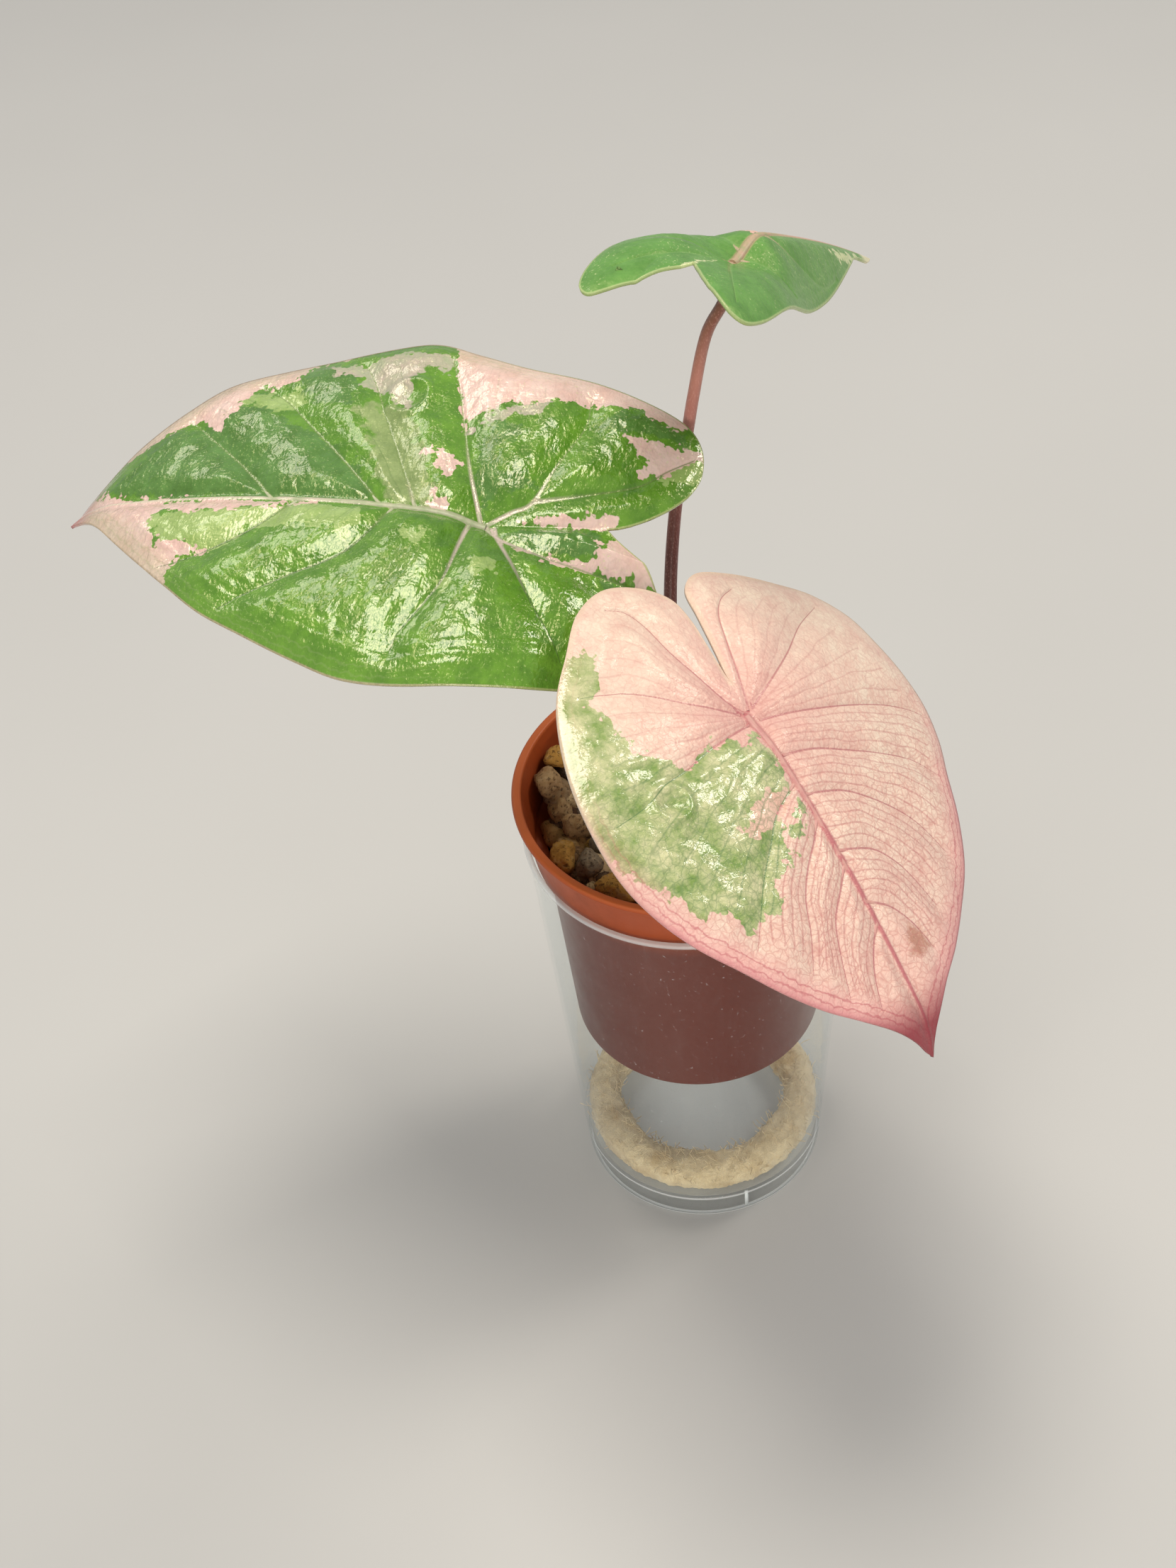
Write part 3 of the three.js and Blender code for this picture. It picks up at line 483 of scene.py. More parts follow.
def blade_height(leaf, u, v):
    """How far the blade stands above its flat frame, without its puckers."""
    ahead = np.maximum(u, 0)
    behind = np.maximum(-u, 0)
    aside = np.abs(v)
    slope_back, slope_front, curl, droop = (
        np.where(v < 0, right, left) for right, left in zip(leaf["right"], leaf["left"])
    )
    slope = slope_back + (slope_front - slope_back) / (1 + np.exp(-(u - 6) / 7))
    return (
        leaf["dimple"] * (1 - np.exp(-((ahead / 6) ** 2) - (v / 8) ** 2))
        - leaf["arch_front"] * ahead**2
        - leaf["arch_back"] * behind**2
        - slope * (np.sqrt(aside**2 + 9) - 3)
        - curl * aside**2
        - droop * behind**2 * np.minimum(aside / 8, 1)
        - leaf["hook"] * np.maximum(u - leaf["hook_start"], 0) ** 2
    )


def smooth_line(points, steps=8):
    """A polyline drawn smoothly through a few points."""
    count = len(points)
    return curve_at(points, np.linspace(0, count - 1, (count - 1) * steps + 1))


def line_between(first, second, share):
    """A line that runs between two veins, at that share of the way from the first to the second."""
    first, second = (curve_at(line, np.linspace(0, len(line) - 1, 25)) for line in (first, second))
    return (first * (1 - share) + second * share)[:-2]


def line_distance(at, line):
    """Distance to a polyline, below 0 on its right, and how far along the nearest place is."""
    start, end = line[:-1], line[1:]
    lengths = np.linalg.norm(end - start, axis=1)
    reached = np.concatenate([[0], np.cumsum(lengths)[:-1]])
    best = np.full(len(at), FAR)
    share = np.zeros(len(at))
    for a, b, length, before in zip(start, end, lengths, reached):
        t = np.clip(((at - a) @ (b - a)) / max(length**2, 1e-9), 0, 1)
        distance = np.linalg.norm(at - a - t[:, None] * (b - a), axis=1)
        closer = distance < np.abs(best)
        on_left = (b[0] - a[0]) * (at[:, 1] - a[1]) > (b[1] - a[1]) * (at[:, 0] - a[0])
        best = np.where(closer, np.where(on_left, distance, -distance), best)
        share = np.where(closer, (before + t * length) / lengths.sum(), share)
    return best, share


def patch_depth(at, outlines):
    """Distance to the edge of the nearest patch, positive inside it."""
    depth = np.full(len(at), -FAR)
    for outline in outlines:
        ring = np.array([*outline, outline[0]], float)
        edge = np.abs(line_distance(at, ring)[0])
        inside = np.zeros(len(at), bool)
        for (ax, ay), (bx, by) in zip(ring[:-1], ring[1:]):
            crosses = (ay > at[:, 1]) != (by > at[:, 1])
            rise = by - ay if abs(by - ay) > 1e-9 else 1e-9
            inside ^= crosses & (at[:, 0] < (bx - ax) * (at[:, 1] - ay) / rise + ax)
        depth = np.maximum(depth, np.where(inside, edge, -edge))
    return depth


def bell(distance, width):
    """A smooth swelling: 1 on a line, and close to 0 from twice its width away."""
    return np.exp(-((distance / width) ** 2))


def ripple(at, size, seed):
    """Smooth noise over a leaf, from -1 to 1, with lumps of about that size in millimetres."""
    return np.array([noise.noise(Vector((u / size + seed, v / size, seed))) for u, v in at])


def blade_fields(leaf, patches, side, place, reach):
    """Where each grid point of one half lies, and what its material reads there."""
    last = len(leaf["origins"]) - 1
    margin = leaf["margin_left" if side > 0 else "margin_right"]
    ends = curve_at(margin, place)
    origins = np.maximum(curve_at([[o] for o in leaf["origins"]], place)[:, 0], 0)
    along_spine = np.interp(place, range(len(SPINE_SHARES)), SPINE_SHARES)[:, None]
    on_spine = (place < len(SPINE_SHARES) - 1)[:, None]
    on_midrib = np.stack([origins, 0 * origins], axis=1)
    starts = np.where(on_spine, along_spine * np.array(leaf["spines"][side > 0]), on_midrib)
    at = starts + (ends - starts) * reach[:, None]
    u, v = at.T

    edge = np.abs(line_distance(at, smooth_line(margin))[0])
    midrib, along_midrib = line_distance(at, np.array([[0, 0], leaf["margin_left"][-1]], float))
    midrib = np.abs(midrib)
    vein_side = np.full(len(at), FAR)
    vein_width = np.ones(len(at))
    for line in (*leaf["veins_left"], *leaf["veins_right"]):
        distance, share = line_distance(at, smooth_line(line))
        closer = np.abs(distance) < np.abs(vein_side)
        vein_side = np.where(closer, distance, vein_side)
        vein_width = np.where(closer, 1 - 0.75 * share, vein_width)
    vein = np.abs(vein_side)

    # The fine veins sway a little to each side of their course.
    swayed = at + 0.7 * np.stack([ripple(at, 6.0, 17.0), ripple(at, 6.0, 23.0)], axis=1)
    fine_side = np.full(len(at), FAR)
    own_veins = leaf["veins_left" if side > 0 else "veins_right"]
    for first, second in zip(own_veins, own_veins[1:]):
        for share in leaf["between"]:
            distance, _ = line_distance(swayed, line_between(first, second, share))
            fine_side = np.where(np.abs(distance) < np.abs(fine_side), distance, fine_side)
    fine = np.abs(fine_side)

    nearest = np.minimum(vein, midrib)
    near_edge = 1 - bell(edge, 4)
    seam, _ = line_distance(at, np.array([margin[0], (0.0, 0.0), margin[-1]], float))
    fade = np.clip(np.abs(seam) / 2.5, 0, 1)
    bulge = leaf["pucker"] * (1 - bell(nearest, 4)) * near_edge
    lumps = 0.2 * leaf["pucker"] * ripple(at, 8.0, 5.0)
    crumpled = np.ones(len(at))
    if leaf["crumple"]:
        crumpled += leaf["crumple"] * np.clip(patch_depth(at, patches["green"]) / 3 + 0.4, 0, 1)
    folds = 1 - 2 * np.abs(ripple(at * np.array([1.0, 0.55]), 4.2, 3.0))
    creases = leaf["wrinkle"] * crumpled * (0.7 * folds + 0.35 * ripple(at, 1.8, 9.0))
    # Fine ripples run along the margin, over the outer third of the blade.
    ripples = np.sin(edge * 2 * np.pi / 2.6 + 2.5 * ripple(at, 9.0, 31.0))
    creases += leaf["ripples"][side > 0] * ripples * bell(edge - 6, 4.5)
    creases -= 0.07 * bell(fine, 0.5)
    creases = (creases + lumps) * near_edge * np.clip(nearest / 2.5, 0, 1)
    grooves = -0.3 * bell(vein, 0.9 * vein_width)
    grooves -= 0.45 * bell(midrib, 2.2) - 0.3 * bell(midrib, 0.75)
    rolled = -0.35 * bell(edge, 1.1)
    past_notch = np.clip((place - 3) / 2, 0, 1)
    waves = leaf["wave"] * np.sin(leaf["waves"] * np.pi * place / last + side) * reach**3 * past_notch
    height = blade_height(leaf, u, v) + grooves + (bulge + creases + rolled + waves) * fade
    if leaf["crater"]:
        centre_u, centre_v, radius, depth = leaf["crater"]
        away = np.hypot(u - centre_u, v - centre_v)
        height += depth * (bell(away - radius, 1.1) - 0.9 * bell(away, 0.6 * radius))

    points = on_plant(leaf, at, height + BLADE["thickness"] / 2)
    depths = {f"patch_{name}": patch_depth(at, outlines) for name, outlines in patches.items()}
    fields = {
        "edge": edge,
        "midrib": midrib / (1.25 - 0.9 * along_midrib),
        "vein": vein_side / vein_width,
        "vein_near": vein,
        "fine": fine_side,
        "fine_near": fine,
        **{name: np.maximum(depth, -20) for name, depth in depths.items()},
    }
    return in_metres(points), at, fields


def blade_mesh(leaf, patches):
    """Both halves of a blade as one sheet, with the distances that its material reads."""
    last = len(leaf["origins"]) - 1
    bm = bmesh.new()
    seam = []
    for side in (1, -1):
        grid = bmesh.ops.create_grid(bm, x_segments=BLADE["columns"], y_segments=BLADE["rows"], size=0.5)
        where = np.array([vertex.co for vertex in grid["verts"]])
        place = np.clip((where[:, 0] + 0.5) * last, 0, last)
        reach = np.clip(where[:, 1] + 0.5, 0, 1)
        points, at, fields = blade_fields(leaf, patches, side, place, reach)
        fields = {"leaf_u": at[:, 0], "leaf_v": at[:, 1], **fields}
        layers = {key: bm.verts.layers.float.get(key) or bm.verts.layers.float.new(key) for key in fields}
        # A new layer makes the old references to vertices stale, so they are read again.
        sheet = list(bm.verts)[-len(points) :]
        for i, vertex in enumerate(sheet):
            vertex.co = points[i]
            for key, layer in layers.items():
                vertex[layer] = fields[key][i]
            if min(reach[i], place[i], last - place[i]) < 1e-4:
                seam.append(vertex)
        if side < 0:
            own = set(sheet)
            bmesh.ops.reverse_faces(bm, faces=[face for face in bm.faces if face.verts[0] in own])
    bmesh.ops.remove_doubles(bm, verts=seam, dist=0.02 * MM)
    mesh = mesh_from(bm)
    on_leaf = mesh.attributes.new("leaf", "FLOAT_VECTOR", "POINT")
    columns = [np.zeros(len(mesh.vertices), np.float32) for _ in range(3)]
    for column, key in zip(columns, ("leaf_u", "leaf_v")):
        mesh.attributes[key].data.foreach_get("value", column)
    on_leaf.data.foreach_set("vector", np.stack(columns, axis=1).ravel())
    return mesh


def stalk_line(name, steps=90):
    """The stalk's centre line from the crown to the underside of its blade, and its length."""
    leaf = LEAVES[name]
    _, _, up = leaf_axes(leaf)
    junction = np.array(leaf["junction"])
    end = BLADE["thickness"] / 2 + 0.2
    path = np.array([*STALK_PATHS[name], junction - STALK["square"] * up, junction - end * up], float)
    line = []
    spans = len(path) - 1
    for k in range(spans):
        a, b, c, d = (path[min(max(k + step, 0), spans)] for step in (-1, 0, 1, 2))
        # Knots a square root of the distance apart keep the curve from overshooting.
        knots = [max(np.linalg.norm(q - p) ** 0.5, 1e-4) for p, q in ((a, b), (b, c), (c, d))]
        knots = [knots[1] if value < 1e-3 else value for value in knots]
        leave = ((b - a) / knots[0] - (c - a) / (knots[0] + knots[1]) + (c - b) / knots[1]) * knots[1]
        arrive = ((c - b) / knots[1] - (d - b) / (knots[1] + knots[2]) + (d - c) / knots[2]) * knots[1]
        for t in np.linspace(0, 1, 40, endpoint=k == spans - 1):
            line.append(
                b * (2 * t**3 - 3 * t**2 + 1) + leave * (t**3 - 2 * t**2 + t)
                + c * (3 * t**2 - 2 * t**3) + arrive * (t**3 - t**2)
            )
    line = np.array(line)
    reached = np.concatenate([[0], np.cumsum(np.linalg.norm(np.diff(line, axis=0), axis=1))])
    even = np.linspace(0, reached[-1], steps)
    return np.stack([np.interp(even, reached, line[:, axis]) for axis in range(3)], axis=1), reached[-1]


def tube_mesh(tubes, sides):
    """Round tapered tubes, each a line of points with a radius at every point, as one mesh."""
    curve = bpy.data.curves.new("tubes", "CURVE")
    curve.dimensions = "3D"
    curve.bevel_depth = MM
    curve.bevel_resolution = sides
    curve.use_fill_caps = True
    for line, radii in tubes:
        spline = curve.splines.new("POLY")
        spline.points.add(len(line) - 1)
        spline.points.foreach_set("co", np.c_[in_metres(line), np.ones(len(line))].ravel())
        spline.points.foreach_set("radius", radii)
    holder = bpy.data.objects.new("tubes", curve)
    bpy.context.scene.collection.objects.link(holder)
    mesh = bpy.data.meshes.new_from_object(holder.evaluated_get(bpy.context.evaluated_depsgraph_get()))
    bpy.data.objects.remove(holder)
    bpy.data.curves.remove(curve)
    return mesh


class Dice:
    """Seeded draws from 0 to 1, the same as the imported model's, so its large stones lie alike."""

    STEP, SHIFT, SIDES = 1664525, 1013904223, 2**32

    def __init__(self, seed):
        self.state = seed

    def roll(self):
        self.state = (self.state * self.STEP + self.SHIFT) % self.SIDES
        return self.state / self.SIDES


def add_stone(bm, centre, radius, stretch, levels, shade, dice):
    """Adds one broken stone: a ball cut by flat faces, worn round and pitted."""
    made = bmesh.ops.create_icosphere(bm, subdivisions=levels, radius=1.0)
    cuts = []
    for _ in range(11):
        z = 2 * dice.roll() - 1
        turn = 2 * math.pi * dice.roll()
        flat = math.sqrt(1 - z * z)
        normal = Vector((flat * math.cos(turn), flat * math.sin(turn), z))
        cuts.append((normal, 0.78 + 0.2 * dice.roll()))
    drift = Vector((dice.roll(), dice.roll(), dice.roll())) * 50
    layer = bm.verts.layers.float["shade"]
    middle = Vector(in_metres(centre))
    for vertex in made["verts"]:
        out = vertex.co.normalized()
        facing = (max(out.dot(normal), 0.05) / share for normal, share in cuts)
        size = sum(value**9 for value in facing) ** (-1 / 9)
        size = min(size, 1.12)
        size *= 1 + 0.1 * noise.noise(out * 1.7 + drift) + 0.07 * noise.noise(out * 4.2 + drift)
        size += 0.045 * noise.noise(out * 9 + drift) + 0.02 * noise.noise(out * 21 + drift)
        vertex.co = middle + Vector([o * s for o, s in zip(out, stretch)]) * (radius * size * MM)
        vertex[layer] = shade


def terracotta_plastic():
    """Injection-moulded polypropylene, terracotta coloured: satin, with faint flow marks and dust."""
    material, tree, shader = new_material("polypropylene")
    place = add(tree, "ShaderNodeTexCoord").outputs["Object"]
    height = add(tree, "ShaderNodeSeparateXYZ", {0: place}).outputs["Z"]
    # Flow marks run up the wall, about 6 mm apart and much longer than wide.
    stretched = add(tree, "ShaderNodeMapping", {0: place, "Scale": (160.0, 160.0, 12.0)})
    flow = add(tree, "ShaderNodeTexNoise", {"Vector": stretched, "Scale": 1.0, "Detail": 3.0})
    dust = add(tree, "ShaderNodeTexNoise", {"Vector": place, "Scale": 90.0, "Detail": 6.0, "Roughness": 0.7})
    grime = add(tree, "ShaderNodeMapRange", {0: dust, 1: 0.52, 2: 0.75, 3: 0.0, 4: 0.28})
    # A painted highlight makes the thin rim's top brighter than the wall.
    rim, shoulder = POT["rim"] * MM, POT["shoulder"] * MM
    painted_lip_highlight = add(tree, "ShaderNodeMapRange", {0: height, 1: rim - 0.9 * MM, 2: rim, 3: 0.0, 4: 0.75})
    # Below the collar the wall sits down in the cup, and painted shade makes it darker.
    painted_shade_below_collar = add(
        tree, "ShaderNodeMapRange", {0: height, 1: shoulder - 6 * MM, 2: shoulder + 3 * MM, 3: 0.92, 4: 0.0}
    )
    # Over the base go flow marks and dust, which are real, a painted highlight on the rim and painted shade
    # below the collar.
    colour = linear("#94401c")
    for share, tone in ((flow, "#a84c24"), (grime, "#6b4a3a"), (painted_lip_highlight, "#cf6a35"), (painted_shade_below_collar, "#5c1a07")):
        mixed = {0: share, 6: colour, 7: linear(tone)}
        colour = add(tree, "ShaderNodeMix", mixed, data_type="RGBA").outputs[2]
    tree.links.new(colour, shader.inputs["Base Color"])
    rough = add(tree, "ShaderNodeMapRange", {0: dust, 1: 0.3, 2: 0.7, 3: 0.34, 4: 0.52})
    tree.links.new(rough.outputs[0], shader.inputs["Roughness"])
    shader.inputs["IOR"].default_value = 1.49
    shader.inputs["Specular IOR Level"].default_value = 0.3
    fine = add(tree, "ShaderNodeTexNoise", {"Vector": place, "Scale": 900.0, "Detail": 2.0})
    bump = add(tree, "ShaderNodeBump", {"Height": fine, "Strength": 0.12, "Distance": 0.1 * MM})
    tree.links.new(bump.outputs[0], shader.inputs["Normal"])
    return material


def clear_polystyrene():
    """Crystal polystyrene, injection moulded: a clear thin wall, scuffed, with a painted highlight along its
    moulded edges.
    """
    material, tree, shader = new_material("clear_polystyrene")
    # The principled shader gives the mirrored light alone, so it is a mirror.
    shader.inputs["Base Color"].default_value = linear("#f4f7f8")
    shader.inputs["Metallic"].default_value = 1.0
    shader.inputs["Roughness"].default_value = 0.06
    place = add(tree, "ShaderNodeTexCoord").outputs["Object"]
    wall = add(tree, "ShaderNodeBsdfTransparent", {"Color": linear("#fdfefe")})
    # A thin wall of polystyrene mirrors little of what meets it head on, and most of what grazes it.
    grazing = add(tree, "ShaderNodeLayerWeight", {"Blend": 0.5}).outputs["Facing"]
    steep = add(tree, "ShaderNodeMath", {0: grazing, 1: 5.0}, operation="POWER")
    mirrored = add(tree, "ShaderNodeMapRange", {0: steep, 1: 0.0, 2: 1.0, 3: 0.025, 4: 0.6})
    through = add(tree, "ShaderNodeMixShader", {0: mirrored, 1: wall, 2: shader})

    # Whitish clouding: fine upright scuffs and dust, which are real, and a painted highlight along the
    # moulded edges
    stretched = add(tree, "ShaderNodeMapping", {0: place, "Scale": (420.0, 420.0, 30.0)})
    scuffs = add(
        tree, "ShaderNodeTexNoise", {"Vector": stretched, "Scale": 1.0, "Detail": 5.0, "Roughness": 0.7}
    )
    scuff = add(tree, "ShaderNodeMapRange", {0: scuffs, 1: 0.55, 2: 0.85, 3: 0.0, 4: 0.03})
    dust = add(tree, "ShaderNodeTexNoise", {"Vector": place, "Scale": 1300.0, "Detail": 1.0})
    speck = add(tree, "ShaderNodeMapRange", {0: dust, 1: 0.72, 2: 0.78, 3: 0.0, 4: 0.22})
    scuffs_and_edge_highlight = add(tree, "ShaderNodeMath", {0: scuff, 1: speck}, operation="MAXIMUM")
    height = add(tree, "ShaderNodeSeparateXYZ", {0: place}).outputs["Z"]
    rim_top, floor_top = CUP["height"] * MM, (CUP["skirt"] + CUP["floor"]) * MM
    # The rim, the foot's edge and the floor's edge get a whitish painted highlight.
    for edge_height, reach in ((rim_top, 1.2 * MM), (0.0, 0.9 * MM), (floor_top, 0.6 * MM)):
        apart = add(tree, "ShaderNodeMath", {0: height, 1: edge_height}, operation="SUBTRACT")
        apart = add(tree, "ShaderNodeMath", {0: apart}, operation="ABSOLUTE")
        edge = add(tree, "ShaderNodeMapRange", {0: apart, 1: 0.4 * reach, 2: reach, 3: 0.5, 4: 0.0})
        scuffs_and_edge_highlight = add(tree, "ShaderNodeMath", {0: scuffs_and_edge_highlight, 1: edge}, operation="MAXIMUM")
    frosted = add(tree, "ShaderNodeBsdfDiffuse", {"Color": linear("#eef1f2")})
    whole = add(tree, "ShaderNodeMixShader", {0: scuffs_and_edge_highlight, 1: through, 2: frosted})
    tree.links.new(whole.outputs[0], tree.nodes["Material Output"].inputs["Surface"])
    return material


def frosted_polystyrene():
    """Thick polystyrene with a dull moulded face, which looks whitish."""
    material, _, shader = new_material("frosted_polystyrene")
    shader.inputs["Base Color"].default_value = linear("#e6ebec")
    shader.inputs["Roughness"].default_value = 0.35
    return material


def cotton_felt():
    """Loosely felted cotton: matt cream fibres in all directions, stained by water and clay."""
    material, tree, shader = new_material("cotton_felt")
    place = add(tree, "ShaderNodeTexCoord").outputs["Object"]
    fibres = add(
        tree, "ShaderNodeTexNoise", {"Vector": place, "Scale": 900.0, "Detail": 6.0, "Distortion": 3.0}
    )
    # Clumps of fibre are about 6 mm across, and stains about 18 mm.
    clumps, stains = (
        add(
            tree, "ShaderNodeTexNoise",
            {"Vector": place, "Scale": scale, "Detail": detail, "Roughness": rough},
        )
        for scale, detail, rough in ((160.0, 5.0, 0.7), (55.0, 4.0, 0.6))
    )
    shaded = add(tree, "ShaderNodeMapRange", {0: clumps, 1: 0.35, 2: 0.55, 3: 0.4, 4: 0.0})
    stained = add(tree, "ShaderNodeMapRange", {0: stains, 1: 0.56, 2: 0.68, 3: 0.0, 4: 0.5})
    colour = linear("#e2c793")
    for share, tone in ((fibres, "#ffedc8"), (shaded, "#b08f58"), (stained, "#b5842f")):
        mixed = {0: share, 6: colour, 7: linear(tone)}
        colour = add(tree, "ShaderNodeMix", mixed, data_type="RGBA").outputs[2]
    tree.links.new(colour, shader.inputs["Base Color"])
    shader.inputs["Roughness"].default_value = 0.95
    shader.inputs["Sheen Weight"].default_value = 0.3
    bump = add(tree, "ShaderNodeBump", {"Height": fibres, "Strength": 0.8, "Distance": 0.5 * MM})
    tree.links.new(bump.outputs[0], shader.inputs["Normal"])
    return material


def porous_stone(name, tones):
    """Fired clay, pumice and lava grit: rough and open-pored, each stone its own brown, with pale dusty
    patches.
    """
    material, tree, shader = new_material(name)
    place = add(tree, "ShaderNodeTexCoord").outputs["Object"]
    shade = add(tree, "ShaderNodeAttribute", attribute_name="shade").outputs["Fac"]
    ramp = add(tree, "ShaderNodeValToRGB", {0: shade})
    ramp.color_ramp.interpolation = "CONSTANT"
    while len(ramp.color_ramp.elements) < len(tones):
        ramp.color_ramp.elements.new(0.5)
    for k, (element, tone) in enumerate(zip(ramp.color_ramp.elements, tones)):
        element.position = k / len(tones)
        element.color = linear(tone)
    # Blotches of about 2 mm, open pores of 0.3 to 1 mm, and a grain of about 0.7 mm
    blotches, pores, grain = (
        add(
            tree, "ShaderNodeTexNoise",
            {"Vector": place, "Scale": scale, "Detail": detail, "Roughness": rough},
        )
        for scale, detail, rough in ((420.0, 6.0, 0.72), (1150.0, 4.0, 0.68), (1400.0, 5.0, 0.7))
    )
    rust = add(tree, "ShaderNodeMapRange", {0: blotches, 1: 0.5, 2: 0.68, 3: 0.0, 4: 0.6})
    chalk = add(tree, "ShaderNodeMapRange", {0: blotches, 1: 0.3, 2: 0.46, 3: 0.5, 4: 0.0})
    # The pores are painted dark: painted shade in their depths.
    pits_and_pit_shade = add(tree, "ShaderNodeMapRange", {0: pores, 1: 0.36, 2: 0.44, 3: 0.65, 4: 0.0})
    colour = ramp
    for share, tone in ((rust, "#7a4f22"), (chalk, "#c9b08c"), (pits_and_pit_shade, "#2e2016")):
        mixed = {0: share, 6: colour, 7: linear(tone)}
        colour = add(tree, "ShaderNodeMix", mixed, data_type="RGBA").outputs[2]
    tree.links.new(colour, shader.inputs["Base Color"])
    shader.inputs["Roughness"].default_value = 0.93
    shader.inputs["Specular IOR Level"].default_value = 0.25
    relief = add(tree, "ShaderNodeMath", {0: grain, 1: pits_and_pit_shade}, operation="SUBTRACT")
    bump = add(tree, "ShaderNodeBump", {"Height": relief, "Strength": 0.9, "Distance": 0.35 * MM})
    tree.links.new(bump.outputs[0], shader.inputs["Normal"])
    return material


def plant_stalk():
    """Living stalk: smooth mauve-brown skin, finely flecked pink, a little waxy, with painted shade below
    and painted light higher up.
    """
    material, tree, shader = new_material("plant_stalk")
    place = add(tree, "ShaderNodeTexCoord").outputs["Object"]
    height = add(tree, "ShaderNodeSeparateXYZ", {0: place}).outputs["Z"]
    # The tones run from just above the grit to just under the top leaf: dark below in painted shade, and
    # pale pink higher up, partly the stalk's own colour and partly painted light.
    share = add(tree, "ShaderNodeMapRange", {0: height, 1: 130 * MM, 2: 250 * MM})
    ramp = add(tree, "ShaderNodeValToRGB", {0: share})
    for element, tone in zip(ramp.color_ramp.elements, ("#52251f", "#6d463c")):
        element.color = linear(tone)
    for position, tone in ((0.45, "#6b3c37"), (0.62, "#9c5f56"), (0.82, "#b87d70"), (0.93, "#8a5a4e")):
        ramp.color_ramp.elements.new(position).color = linear(tone)
    # Flecks of about 0.3 mm, drawn out along the stalk
    stretched = add(tree, "ShaderNodeMapping", {0: place, "Scale": (1.0, 1.0, 0.35)})
    flecks = add(tree, "ShaderNodeTexNoise", {"Vector": stretched, "Scale": 3600.0, "Detail": 3.0})
    fleck = add(tree, "ShaderNodeMapRange", {0: flecks, 1: 0.55, 2: 0.65, 3: 0.0, 4: 0.3})
    pink = linear("#d3a296")
    colour = add(tree, "ShaderNodeMix", {0: fleck, 6: ramp, 7: pink}, data_type="RGBA").outputs[2]
    tree.links.new(colour, shader.inputs["Base Color"])
    shader.inputs["Roughness"].default_value = 0.38
    shader.inputs["IOR"].default_value = 1.45
    bump = add(tree, "ShaderNodeBump", {"Height": flecks, "Strength": 0.3, "Distance": 0.1 * MM})
    tree.links.new(bump.outputs[0], shader.inputs["Normal"])
    return material


def sheath_skin():
    """Dry papery leaf sheath over a fleshy crown: brown, streaked lengthwise, matt."""
    material, tree, shader = new_material("papery_sheath")
    place = add(tree, "ShaderNodeTexCoord").outputs["Object"]
    stretched = add(tree, "ShaderNodeMapping", {0: place, "Scale": (1.0, 1.0, 0.12)})
    streaks = add(tree, "ShaderNodeTexNoise", {"Vector": stretched, "Scale": 1400.0, "Detail": 5.0})
    dark, pale = linear("#5c3a2c"), linear("#a98a6e")
    colour = add(tree, "ShaderNodeMix", {0: streaks, 6: dark, 7: pale}, data_type="RGBA").outputs[2]
    tree.links.new(colour, shader.inputs["Base Color"])
    shader.inputs["Roughness"].default_value = 0.7
    bump = add(tree, "ShaderNodeBump", {"Height": streaks, "Strength": 0.5, "Distance": 0.3 * MM})
    tree.links.new(bump.outputs[0], shader.inputs["Normal"])
    return material


